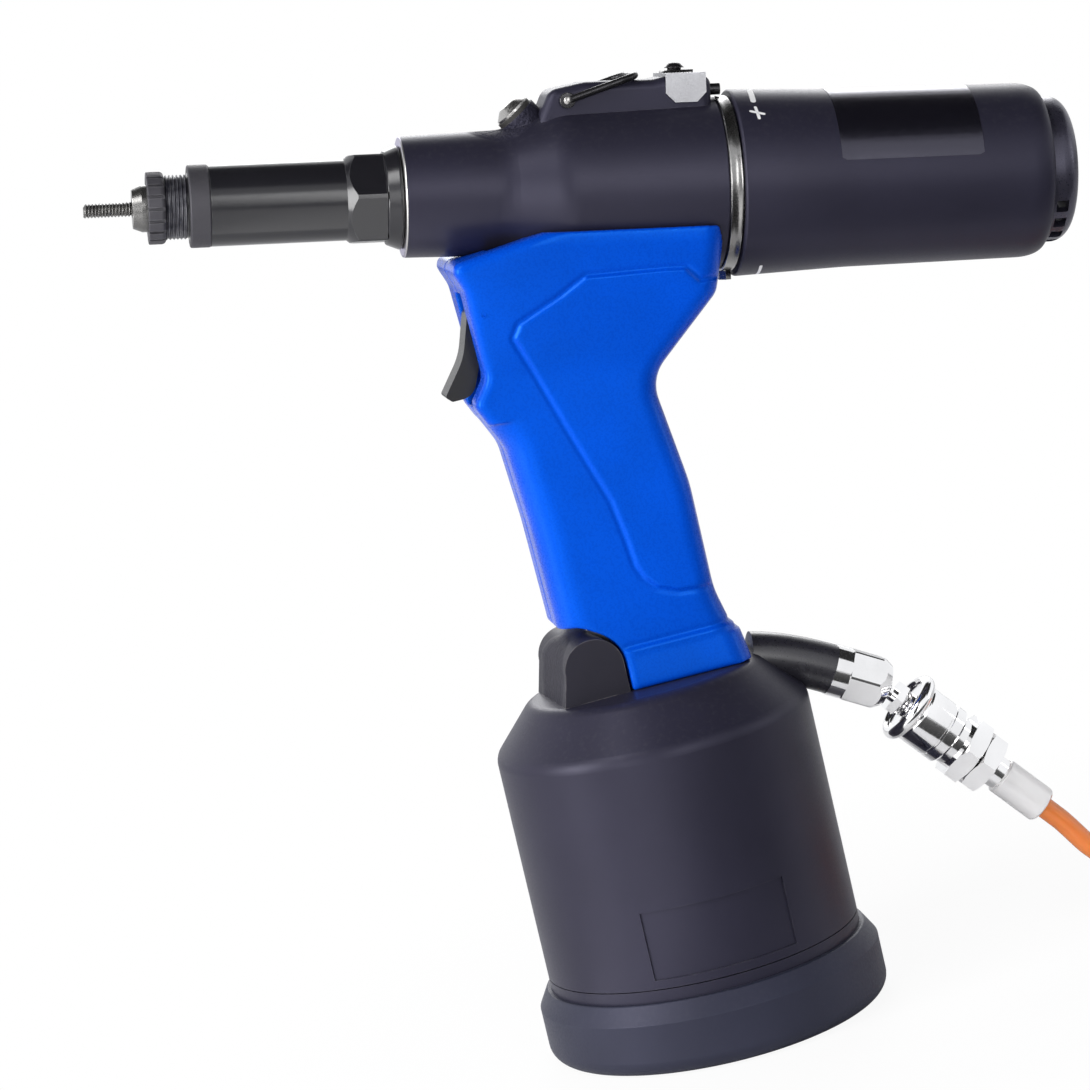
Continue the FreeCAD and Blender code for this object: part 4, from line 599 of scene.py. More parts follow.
class Paint:
    """Makes the materials from their finishes and puts them on pieces.

    The scatter's depth is in metres, and half the soft edge of a band in millimetres.
    """

    BLOTCH_SHADE = 0.84
    FINE_RANGE = (0.3, 0.7)
    DUST = (0.30, 0.29, 0.28)
    COARSE_ROUGHNESS = 0.62
    SCATTER = (1.0, 0.35, 0.1)
    SCATTER_DEPTH = 0.004
    BAND_EDGE = 0.04

    def __init__(self) -> None:
        """Make the shared groups."""
        self.groups = ShaderGroups()
        self.made: dict[str, bpy.types.Material] = {}

    def material(self, name: str) -> bpy.types.Material:
        """The material of a finish, made once.

        Args:
            name: the finish's name.

        Returns:
            The material.
        """
        if name not in self.made:
            self.made[name] = self._make(name, FINISHES[name])
        return self.made[name]

    @staticmethod
    def _group(graph: Graph, tree: bpy.types.NodeTree, **inputs: object) -> bpy.types.Node:
        """Add one of the shared groups.

        Args:
            graph: the material's graph.
            tree: the group.
            **inputs: its inputs by name.

        Returns:
            The group's node.
        """
        made = graph.node("ShaderNodeGroup", node_tree=tree)
        for label, value in inputs.items():
            graph.feed(made.inputs[label], value)
        return made

    def _make(self, name: str, finish: Finish) -> bpy.types.Material:
        """Build one procedural material.

        Args:
            name: its name.
            finish: what it looks like.

        Returns:
            The material.
        """
        material = bpy.data.materials.new(name)
        material.use_nodes = True
        graph = Graph(material.node_tree)
        inputs = material.node_tree.nodes["Principled BSDF"].inputs
        grain = self._group(
            graph, self.groups.grain,
            Scale=1.0 / (finish.grain_mm * MM), Bump=finish.bump, Stretch=finish.grain.stretch,
        )
        edges = self._group(graph, self.groups.edges, Amount=finish.edge)
        dust = self._group(graph, self.groups.dust, Amount=finish.dust)
        dark = tuple(self.BLOTCH_SHADE * part for part in finish.color)
        color = graph.mix(grain.outputs["Blotch"], dark, finish.color)
        color = graph.mix(edges.outputs["Mask"], color, finish.worn)
        color = graph.mix(dust.outputs["Mask"], color, self.DUST)
        rough = graph.remap(grain.outputs["Fine"], self.FINE_RANGE, finish.roughness)
        normal = grain.outputs["Normal"]
        for patch in finish.patches:
            coarse = self._group(
                graph, self.groups.coarse, Centre=tuple(part * MM for part in patch.centre),
                Radius=patch.radius * MM, Normal=normal,
            )
            normal = coarse.outputs["Normal"]
            rough = graph.blend(coarse.outputs["Mask"], rough, self.COARSE_ROUGHNESS)
        metallic = finish.metallic
        for band in finish.bands:
            mask = self._band(graph, band)
            color = graph.mix(mask, color, band.color)
            rough = graph.blend(mask, rough, band.roughness)
            if band.metallic != finish.metallic:
                metallic = graph.blend(mask, metallic, band.metallic)
        graph.feed(inputs["Base Color"], color)
        graph.feed(inputs["Roughness"], rough)
        graph.feed(inputs["Normal"], normal)
        graph.feed(inputs["Metallic"], metallic)
        inputs["Specular IOR Level"].default_value = finish.specular
        inputs["Specular Tint"].default_value = (*finish.tint, 1.0)
        if finish.glow:
            inputs["Subsurface Weight"].default_value = finish.glow
            inputs["Subsurface Radius"].default_value = self.SCATTER
            inputs["Subsurface Scale"].default_value = self.SCATTER_DEPTH
        return material

    def _band(self, graph: Graph, band: Band) -> Socket:
        """Mask of a stretch along a place's X axis.

        Args:
            graph: the material's graph.
            band: the stretch.

        Returns:
            The mask, 1 inside the stretch.
        """
        slope = math.radians(band.place.slope)
        axis = (math.cos(slope), 0.0, math.sin(slope))
        origin = tuple(part * MM for part in band.place.origin)
        relative = graph.vector("SUBTRACT", graph.place(), origin).outputs[0]
        station = graph.vector("DOT_PRODUCT", relative, axis).outputs["Value"]
        masks = []
        for limit, target in ((band.start, (0.0, 1.0)), (band.end, (1.0, 0.0))):
            source = ((limit - self.BAND_EDGE) * MM, (limit + self.BAND_EDGE) * MM)
            masks.append(graph.remap(station, source, target))
        return graph.math("MULTIPLY", *masks)

    def dress(self, piece: bpy.types.Object, name: str) -> bpy.types.Object:
        """Put a finish on a piece.

        Args:
            piece: the piece.
            name: the finish's name.

        Returns:
            The piece.
        """
        piece.data.materials.clear()
        piece.data.materials.append(self.material(name))
        return piece


@dataclass(frozen=True)
class Section:
    """One ring of a turned piece.

    Args:
        at: place along the axis.
        radius: radius, or half the width across flats.
        flats: number of flats, 0 for a round ring.
    """

    at: float
    radius: float
    flats: int = 0

    def reach(self, angle: float) -> float:
        """Distance from the axis at an angle in radians.

        Args:
            angle: the angle.

        Returns:
            The distance.
        """
        if not self.flats:
            return self.radius
        half = math.pi / self.flats
        return self.radius / math.cos((angle + half) % (2 * half) - half)


def sections_of(rings: Rings, side: float = 1.0) -> list[Section]:
    """Round sections from places and radii, mirrored where side is -1."""
    return [Section(side * at, radius) for at, radius in rings]


class Draft:
    """One mesh under construction, drawn in the millimetres of a place.

    An order names where the places along and across the axis go among X, Y and Z.
    """

    ORDERS = {"X": (0, 1, 2), "Y": (1, 0, 2), "Z": (1, 2, 0)}
    MERGE = 0.0005

    def __init__(self, name: str, place: Place = ROW) -> None:
        """Start an empty mesh.

        Args:
            name: name of its piece.
            place: axis system that it is drawn in.
        """
        self.name = name
        self.place = place
        self.mesh = bmesh.new()

    def rings(self, rings: list[list[Vector]], closed: bool = True, capped: bool = False) -> None:
        """Join rows of points with quads.

        Args:
            rings: rows of the same number of points.
            closed: whether each row is a loop.
            capped: whether the first and last rows get a flat face.
        """
        rows = [[self.mesh.verts.new(point) for point in ring] for ring in rings]
        count = len(rows[0])
        for low, high in zip(rows, rows[1:]):
            for i in range(count if closed else count - 1):
                j = (i + 1) % count
                self.mesh.faces.new((low[i], low[j], high[j], high[i]))
        if capped:
            self.mesh.faces.new(list(reversed(rows[0])))
            self.mesh.faces.new(rows[-1])

    def turned(
        self,
        sections: list[Section],
        axis: str = "X",
        centre: Triple = (0.0, 0.0, 0.0),
        steps: int = 96,
        hollow: bool = False,
    ) -> "Draft":
        """Turn sections about an axis through a centre.

        Args:
            sections: rings from one end to the other.
            axis: local axis to turn about.
            centre: point on the axis.
            steps: points round the axis.
            hollow: whether the last ring joins the first, as on a tube.

        Returns:
            The draft itself.
        """
        order = self.ORDERS[axis]
        rings = []
        for section in [*sections, sections[0]] if hollow else sections:
            ring = []
            for i in range(steps):
                angle = 2 * math.pi * i / steps
                reach = section.reach(angle)
                parts = (section.at, reach * math.cos(angle), reach * math.sin(angle))
                ring.append(Vector(centre) + Vector([parts[k] for k in order]))
            rings.append(ring)
        self.rings(rings, capped=not hollow)
        return self

    def slab(self, top: list[list[Vector]], bottom: list[list[Vector]]) -> None:
        """Close two grids of points into a thin solid.

        Args:
            top: rows of the upper face.
            bottom: rows of the lower face, as many and as long.
        """
        self.rings(top, closed=False)
        self.rings([list(reversed(row)) for row in bottom], closed=False)
        self.rings([self._border(bottom), self._border(top)])

    @staticmethod
    def _border(grid: list[list[Vector]]) -> list[Vector]:
        """Outer loop of a grid of points.

        Args:
            grid: rows of points.

        Returns:
            The loop's points in order.
        """
        right = [row[-1] for row in grid[1:-1]]
        left = [row[0] for row in grid[1:-1]]
        return [*grid[0], *right, *reversed(grid[-1]), *reversed(left)]

    def done(self) -> bpy.types.Object:
        """Finish the mesh.

        Returns:
            The piece, an object at the origin with its mesh in metres.
        """
        bmesh.ops.remove_doubles(self.mesh, verts=self.mesh.verts, dist=self.MERGE)
        bmesh.ops.recalc_face_normals(self.mesh, faces=self.mesh.faces)
        self.mesh.transform(self.place.matrix())
        data = bpy.data.meshes.new(self.name)
        self.mesh.to_mesh(data)
        self.mesh.free()
        return new_object(self.name, data)


def new_object(name: str, data: bpy.types.Mesh, smooth: float = 35.0) -> bpy.types.Object:
    """Link a mesh to the scene.

    Args:
        name: the object's name.
        data: its mesh.
        smooth: angle in degrees up to which its edges are shaded smooth.

    Returns:
        The object.
    """
    data.polygons.foreach_set("use_smooth", [True] * len(data.polygons))
    data.set_sharp_from_angle(angle=math.radians(smooth))
    piece = bpy.data.objects.new(name, data)
    bpy.context.scene.collection.objects.link(piece)
    return piece


def merged_copy(name: str) -> bpy.types.Mesh:
    """A copy of a CAD node's mesh with its points merged.

    Args:
        name: the node's name.

    Returns:
        The copy.
    """
    mesh = bmesh.new()
    mesh.from_mesh(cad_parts[name].data)
    bmesh.ops.remove_doubles(mesh, verts=mesh.verts, dist=MERGE_DISTANCE)
    data = bpy.data.meshes.new(name + "_copy")
    mesh.to_mesh(data)
    mesh.free()
    return data


def evaluated_mesh(source: bpy.types.Object) -> bpy.types.Mesh:
    """The mesh of an object with its modifiers applied.

    Args:
        source: the object, which is removed.

    Returns:
        The plain mesh.
    """
    graph = bpy.context.evaluated_depsgraph_get()
    data = bpy.data.meshes.new_from_object(source.evaluated_get(graph))
    bpy.data.objects.remove(source)
    return data


class Skin:
    """The surface of a CAD piece, to lay thin pieces on.

    Rays towards it start at a distance of CLEAR millimetres, outside every piece.
    """

    CLEAR = 60.0

    def __init__(self, node: str, place: Place) -> None:
        """Keep the faces of a piece.

        Args:
            node: its node.
            place: axis system that they are kept in, in millimetres.
        """
        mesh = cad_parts[node].data
        to_local = place.matrix().inverted()
        vertices = [to_local @ vertex.co for vertex in mesh.vertices]
        faces = [list(polygon.vertices) for polygon in mesh.polygons]
        self.tree = BVHTree.FromPolygons(vertices, faces)

    def hit(self, start: Vector, heading: Vector) -> Vector:
        """The first surface point from a start along a heading."""
        return self.tree.ray_cast(start, heading)[0]

    def around(self, x: float, angle: float, lift: float) -> Vector:
        """A surface point round the local X axis.

        Args:
            x: its station.
            angle: angle in radians up from -Y.
            lift: how far it is lifted off the surface.

        Returns:
            The point.
        """
        out = Vector((0.0, -math.cos(angle), math.sin(angle)))
        return self.hit(Vector((x, 0.0, 0.0)) + out * self.CLEAR, -out) + out * lift


def outward(azimuth: float, elevation: float) -> Vector:
    """Direction from the object to a place round it.

    Args:
        azimuth: degrees round the object, 0 on the -Y side and -90 on the nose's.
        elevation: degrees above the horizon.

    Returns:
        The direction.
    """
    a, e = math.radians(azimuth), math.radians(elevation)
    return Vector((math.sin(a) * math.cos(e), -math.cos(a) * math.cos(e), math.sin(e)))


@dataclass(frozen=True)
class CameraPlace:
    """The photograph's camera, found by fitting points of the object.

    Args:
        azimuth: turn round the object in degrees, 0 looks along +Y.
        elevation: degrees above the horizon.
        roll: turn about the view axis in degrees.
        target: point in the picture's middle, in millimetres.
        distance: from the target, in millimetres.
        lens: focal length.
        sensor: width of the sensor that the lens is given for.
        clip: nearest and furthest distance that is seen, in metres.
    """

    azimuth: float = -6.40
    elevation: float = 8.65
    roll: float = -13.23
    target: Triple = (-17.57, 0.0, 142.21)
    distance: float = 1100.0
    lens: float = 132.6
    sensor: float = 36.0
    clip: tuple[float, float] = (0.05, 20.0)

    def build(self) -> None:
        """Make the camera."""
        azimuth, roll = math.radians(self.azimuth), math.radians(self.roll)
        back = outward(self.azimuth, self.elevation)
        right = Vector((math.cos(azimuth), math.sin(azimuth), 0.0))
        up = back.cross(right)
        turned_right = math.cos(roll) * right + math.sin(roll) * up
        turned_up = math.cos(roll) * up - math.sin(roll) * right
        data = bpy.data.cameras.new("camera")
        data.sensor_width = self.sensor
        data.lens = self.lens
        data.clip_start, data.clip_end = self.clip
        camera = bpy.data.objects.new("camera", data)
        bpy.context.scene.collection.objects.link(camera)
        turn = Matrix((turned_right, turned_up, back)).transposed().to_4x4()
        place = (Vector(self.target) + self.distance * back) * MM
        camera.matrix_world = Matrix.Translation(place) @ turn
        bpy.context.scene.camera = camera


@dataclass(frozen=True)
class SoftBox:
    """One studio light.

    Args:
        name: its name.
        azimuth: degrees round the aim, 0 is on the camera's side and -90 on the nose's.
        elevation: degrees above the horizon.
        distance: from the aim, in millimetres.
        size: width and height in millimetres.
        power: watts.
        aim: point that it faces, in millimetres.
    """

    name: str
    azimuth: float
    elevation: float
    distance: float
    size: tuple[float, float]
    power: float
    aim: Triple = (0.0, 0.0, 150.0)


@dataclass(frozen=True)
class Card:
    """A card that only shows in reflections.

    Args:
        name: its name.
        corners: its four corners in millimetres.
        glow: how bright it is, 0 being black.
    """

    name: str
    corners: tuple[Triple, ...]
    glow: float = 0.0


class Studio:
    """Pale floor, white surroundings, soft lights and cards for the reflections.

    Lengths are millimetres, apart from the shadow's, which are metres.
    """

    LIGHTS = (
        SoftBox("key_box", -70.0, 15.0, 1200.0, (420.0, 760.0), 12.0),
        SoftBox("strip_box", -31.0, 8.0, 1250.0, (200.0, 760.0), 3.2),
        SoftBox("front_box", 10.0, 16.0, 1330.0, (260.0, 700.0), 3.0),
        SoftBox("right_box", 78.0, 6.0, 1400.0, (160.0, 600.0), 0.8),
        SoftBox("back_box", 168.0, 24.0, 1500.0, (900.0, 600.0), 7.0),
        SoftBox("shoulder_box", -50.0, 50.0, 1000.0, (300.0, 420.0), 3.4, (0.0, 0.0, 240.0)),
    )
    CARDS = (
        Card("overhead_card", ((-900, -900, 1250), (900, -900, 1250), (900, 900, 1250), (-900, 900, 1250))),
        Card("front_card", ((-600, -1250, 250), (0, -1250, 250), (0, -1250, 1300), (-600, -1250, 1300))),
        Card("side_card", ((800, -500, 600), (800, 600, 600), (800, 600, 1250), (800, -500, 1250))),
        Card("low_card", ((-10, -100, 2), (900, -100, 2), (900, -1100, 2), (30, -1100, 2))),
        Card("nose_card", ((-125, -20, 15), (-42, -20, 15), (60, -900, 15), (-25, -900, 15)), 2.0),
    )
    WHITE = (1.0, 1.0, 1.0, 1.0)
    PALE = (0.97, 0.98, 1.0, 1.0)
    PALE_LIGHT = 0.22
    CARD_BLACK = (0.01, 0.01, 0.01, 1.0)
    CARD_ROUGHNESS = 0.9
    FLOOR_COLOR = (0.90, 0.90, 0.91, 1.0)
    FLOOR_ROUGHNESS = 0.6
    FLOOR_HALF = 6000.0
    FLOOR_Z = -0.05
    SHADOW_CENTRE = (0.06, 0.02, 0.0)
    SHADOW_REACH = (0.09, 0.22)
    WHITE_SHARE = (0.92, 1.0)

    def build(self) -> None:
        """Make the floor, the surroundings, the lights and the cards."""
        bpy.context.scene.view_settings.view_transform = "Standard"
        self._world()
        self._floor()
        for card in self.CARDS:
            self._card(card)
        for box in self.LIGHTS:
            self._light(box)
        log.info("studio: %d lights", len(self.LIGHTS))

    def _world(self) -> None:
        """White to the camera, pale in reflections, and pale grey as light."""
        world = bpy.data.worlds.new("surroundings")
        bpy.context.scene.world = world
        world.use_nodes = True
        graph = Graph(world.node_tree)
        light = world.node_tree.nodes["Background"]
        mirrored, seen = (graph.node("ShaderNodeBackground") for _ in range(2))
        for lamp, color, strength in (
            (light, self.PALE, self.PALE_LIGHT), (mirrored, self.PALE, 1.0), (seen, self.WHITE, 1.0)
        ):
            lamp.inputs["Color"].default_value = color
            lamp.inputs["Strength"].default_value = strength
        path = graph.node("ShaderNodeLightPath").outputs
        in_mirror = graph.math("MAXIMUM", path["Is Glossy Ray"], path["Is Transmission Ray"])
        shader = light.outputs[0]
        for share, other in ((in_mirror, mirrored), (path["Is Camera Ray"], seen)):
            shader = self._either(graph, share, shader, other.outputs[0])
        graph.feed(world.node_tree.nodes["World Output"].inputs[0], shader)

    @staticmethod
    def _either(graph: Graph, share: Socket, first: Socket, second: Socket) -> Socket:
        """Mix two shaders.

        Args:
            graph: where they are.
            share: how much of the second is in the mix.
            first: the first shader.
            second: the second shader.

        Returns:
            The mixed shader.
        """
        choice = graph.node("ShaderNodeMixShader")
        for socket, value in zip(choice.inputs, (share, first, second)):
            graph.feed(socket, value)
        return choice.outputs[0]

    @staticmethod
    def _plane(name: str, corners: tuple[Triple, ...]) -> bpy.types.Object:
        """A flat piece of the stage.

        Args:
            name: its name.
            corners: its four corners in millimetres.

        Returns:
            The plane with a plain material.
        """
        mesh = bpy.data.meshes.new(name)
        mesh.from_pydata([Vector(corner) * MM for corner in corners], [], [(0, 1, 2, 3)])
        plane = bpy.data.objects.new(name, mesh)
        bpy.context.scene.collection.objects.link(plane)
        material = bpy.data.materials.new(name)
        material.use_nodes = True
        mesh.materials.append(material)
        return plane

    def _floor(self) -> None:
        """A wide pale floor that looks nearly white and takes a faint shadow."""
        half, z = self.FLOOR_HALF, self.FLOOR_Z
        corners = tuple((x * half, y * half, z) for x, y in ((-1, -1), (1, -1), (1, 1), (-1, 1)))
        tree = self._plane("floor", corners).data.materials[0].node_tree
        graph = Graph(tree)
        plain = tree.nodes["Principled BSDF"]
        plain.inputs["Base Color"].default_value = self.FLOOR_COLOR
        plain.inputs["Roughness"].default_value = self.FLOOR_ROUGHNESS
        bright = graph.node("ShaderNodeEmission")
        seen = graph.node("ShaderNodeLightPath").outputs["Is Camera Ray"]
        far = graph.vector("DISTANCE", graph.place(), self.SHADOW_CENTRE).outputs["Value"]
        share = graph.math("MULTIPLY", seen, graph.remap(far, self.SHADOW_REACH, self.WHITE_SHARE))
        shader = self._either(graph, share, plain.outputs[0], bright.outputs[0])
        graph.feed(tree.nodes["Material Output"].inputs[0], shader)

    def _card(self, card: Card) -> None:
        """Make a card, hidden from the camera and from the light.

        Args:
            card: the card.
        """
        plane = self._plane(card.name, card.corners)
        plane.visible_camera = False
        plane.visible_shadow = False
        plane.visible_diffuse = False
        plain = plane.data.materials[0].node_tree.nodes["Principled BSDF"]
        plain.inputs["Base Color"].default_value = self.CARD_BLACK
        plain.inputs["Roughness"].default_value = self.CARD_ROUGHNESS
        plain.inputs["Emission Color"].default_value = self.WHITE
        plain.inputs["Emission Strength"].default_value = card.glow

    @staticmethod
    def _light(box: SoftBox) -> None:
        """Make an area light that faces its aim.

        Args:
            box: the light.
        """
        data = bpy.data.lights.new(box.name, "AREA")
        data.shape = "RECTANGLE"
        data.size, data.size_y = box.size[0] * MM, box.size[1] * MM
        data.energy = box.power
        light = bpy.data.objects.new(box.name, data)
        out = outward(box.azimuth, box.elevation)
        place = (Vector(box.aim) + out * box.distance) * MM
        turn = out.to_track_quat("Z", "Y").to_matrix().to_4x4()
        light.matrix_world = Matrix.Translation(place) @ turn
        light.visible_camera = False
        bpy.context.scene.collection.objects.link(light)


@dataclass(frozen=True)
class HoseRoute:
    """The air hose: where it leaves the nut, how it falls and how the spare length is coiled.

    Args:
        exit: end of the hose nut.
        slope: direction of the nut in degrees from +X.
        straight: points on the straight stretch out of the nut, as steps from the exit.
        fall: further points: step ahead of the exit, place sideways and height above the floor.
        start_run: run from the last of them up to the coil.
        start_point: a point on that run.
        heading: the coil's first heading in degrees from +X.
        turns: radius and height at each half turn of the coil.
        end: radius and height where the coil's last half turn ends.
        end_lead: step ahead at the coil's end that keeps the tail straight.
        tail: straight run up to the plug.
        steps: points of each half turn.
        radius: hose radius.
        length: whole length, not used.
        settled: where it would stop following the coupler's tilt, as steps ahead of the exit and up; not
            used.
    """

    exit: Triple = (102.42, 0.0, 35.70)
    slope: float = -50.0
    straight: tuple[float, ...] = (0.0, 4.0, 8.0)
    fall: tuple[Triple, ...] = (
        (12.2, -0.3, 18.7), (25.0, -1.0, 9.0), (43.3, -2.0, 3.1), (62.1, -2.6, 3.1),
    )
    start_run: float = 18.0
    start_point: float = 10.8
    heading: float = 7.0
    turns: Rings = (
        (40.0, 3.1), (36.625, 3.1), (33.25, 3.1), (29.875, 3.1), (26.5, 3.1),
        (24.8, 9.85), (29.875, 9.85), (33.25, 9.85), (36.625, 9.85),
    )
    end: tuple[float, float] = (50.625, 6.8)
    end_lead: float = 1.5
    tail: float = 6.0
    steps: int = 12
    radius: float = 3.0
    length: float = 1030.0
    settled: tuple[float, float] = (16.5, -28.5)


@dataclass(frozen=True)
class ReleaseSizes:
    """The coupler's release sleeve: stations along the coupler and radii in millimetres.

    Args:
        bore: its bore.
        front: station where the bore starts, inside the lip.
        lip: station and radius of the front lip.
        bead_at: station of the bead's middle.
        bead_middle: radius that the bead's arc is centred on.
        bead_round: radius of the arc.
        bead_steps: steps of the arc.
        body: stations and radii behind the bead, with its groove.
        steps: points round the axis.
    """

    bore: float = 7.45
    front: float = 11.4
    lip: tuple[float, float] = (10.6, 7.9)
    bead_at: float = 12.5
    bead_middle: float = 8.2
    bead_round: float = 2.1
    bead_steps: int = 12
    body: Rings = (
        (15.0, 8.45), (15.6, 8.5), (22.6, 8.5), (22.8, 8.25), (23.3, 8.25), (23.5, 8.5), (26.4, 8.5),
        (27.0, 7.9),
    )
    steps: int = 192


@dataclass
class AirLine:
    """The free hose with its coil, and the coupler's release sleeve.

    Args:
        paint: dresses the pieces.
        route: where the hose runs.
        release: the release sleeve's sizes.
    """

    CURVE_ORDER = 3
    STEPS_ALONG = 8
    STEPS_ROUND = 8

    paint: Paint
    route: HoseRoute = HoseRoute()
    release: ReleaseSizes = ReleaseSizes()

    def build(self) -> None:
        """Make the hose and the release sleeve."""
        self._hose()
        self._release_sleeve()

    def _route_points(self) -> list[Vector]:
        """Control points of the hose's centre line.

        Returns:
            The points in millimetres.
        """
        r = self.route
        exit_point = Vector(r.exit)
        slope = math.radians(r.slope)
        down = Vector((math.cos(slope), 0.0, math.sin(slope)))
        points = [exit_point + down * step for step in r.straight]
        points += [Vector((exit_point.x + x, y, z)) for x, y, z in r.fall]
        turn = math.radians(r.heading)
        ahead = Vector((math.cos(turn), math.sin(turn), 0.0))
        inward = Vector((-math.sin(turn), math.cos(turn), 0.0))
        centre = points[-1] + ahead * r.start_run + inward * r.turns[0][0]
        centre.z = 0.0
        points.append(points[-1] + ahead * r.start_point)
        grow = 1.0 / math.cos(math.pi / (2 * r.steps))
        places = [*r.turns, r.end]
        for k, ((r0, z0), (r1, z1)) in enumerate(zip(places, places[1:])):
            last = k == len(places) - 2
            for i in range(r.steps):
                share = i / r.steps
                rise = max(0.0, 2.0 * share - 1.0) if last else share
                angle = math.pi * (k + share)
                spoke = ahead * math.sin(angle) - inward * math.cos(angle)
                reach = (r0 + (r1 - r0) * share) * grow
                height = Vector((0.0, 0.0, z0 + (z1 - z0) * rise))
                points.append(centre + spoke * reach + height)
        end = centre + inward * r.end[0] + Vector((0.0, 0.0, r.end[1]))
        points += [end + ahead * r.end_lead, end - ahead * r.tail]
        return points

    @staticmethod
    def _as_mesh(curve: bpy.types.Curve) -> bpy.types.Mesh:
        """The mesh of a curve as it is now.

        Args:
            curve: the curve.

        Returns:
            Its line where it has no bevel, or else its tube.
        """
        holder = bpy.data.objects.new("hose_route", curve)
        bpy.context.scene.collection.objects.link(holder)
        return evaluated_mesh(holder)

    def _hose(self) -> None:
        """The hose as one cord, swept along its route."""
        r = self.route
        points = self._route_points()
        curve = bpy.data.curves.new("hose", "CURVE")
        curve.dimensions = "3D"
        spline = curve.splines.new("NURBS")
        spline.points.add(len(points) - 1)
        for target, point in zip(spline.points, points):
            target.co = (*(point * MM), 1.0)
        spline.order_u = self.CURVE_ORDER
        spline.use_endpoint_u = True
        spline.resolution_u = self.STEPS_ALONG
        centre_line = self._as_mesh(curve)
        curve.bevel_depth = r.radius * MM
        curve.bevel_resolution = self.STEPS_ROUND
        curve.use_fill_caps = True
        hose = new_object("hose", self._as_mesh(curve))
        self.paint.dress(hose, "orange_hose")
        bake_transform(hose)
        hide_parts("air_hose", "hose_coil")
        log.info("hose: %d control points", len(points))

    def _release_sleeve(self) -> None:
        """The coupler's release sleeve with its rounded front bead."""
        s = self.release
        rings = [(s.front, s.bore), s.lip]
        for i in range(s.bead_steps + 1):
            angle = math.pi * (i / s.bead_steps - 0.5)
            at = s.bead_at + s.bead_round * math.sin(angle)
            rings.append((at, s.bead_middle + s.bead_round * math.cos(angle)))
        rings += [*s.body, (s.body[-1][0], s.bore)]
        draft = Draft("release_sleeve_form", COUPLER)
        draft.turned(sections_of(tuple(rings)), hollow=True, steps=s.steps)
        piece = self.paint.dress(draft.done(), "chrome")
        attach(piece, "release_sleeve")
        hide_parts("release_sleeve")
        log.info("release sleeve: %d rings", len(rings))


@dataclass(frozen=True)
class ThreadSizes:
    """A screw thread on the barrel's axis.

    Args:
        start: where the thread starts, in millimetres.
        length: how long it is.
        radius: radius at the middle of its ridge.
        ridge: half the ridge's height.
        pitch: step of one turn.
    """

    start: float
    length: float
    radius: float
    ridge: float
    pitch: float


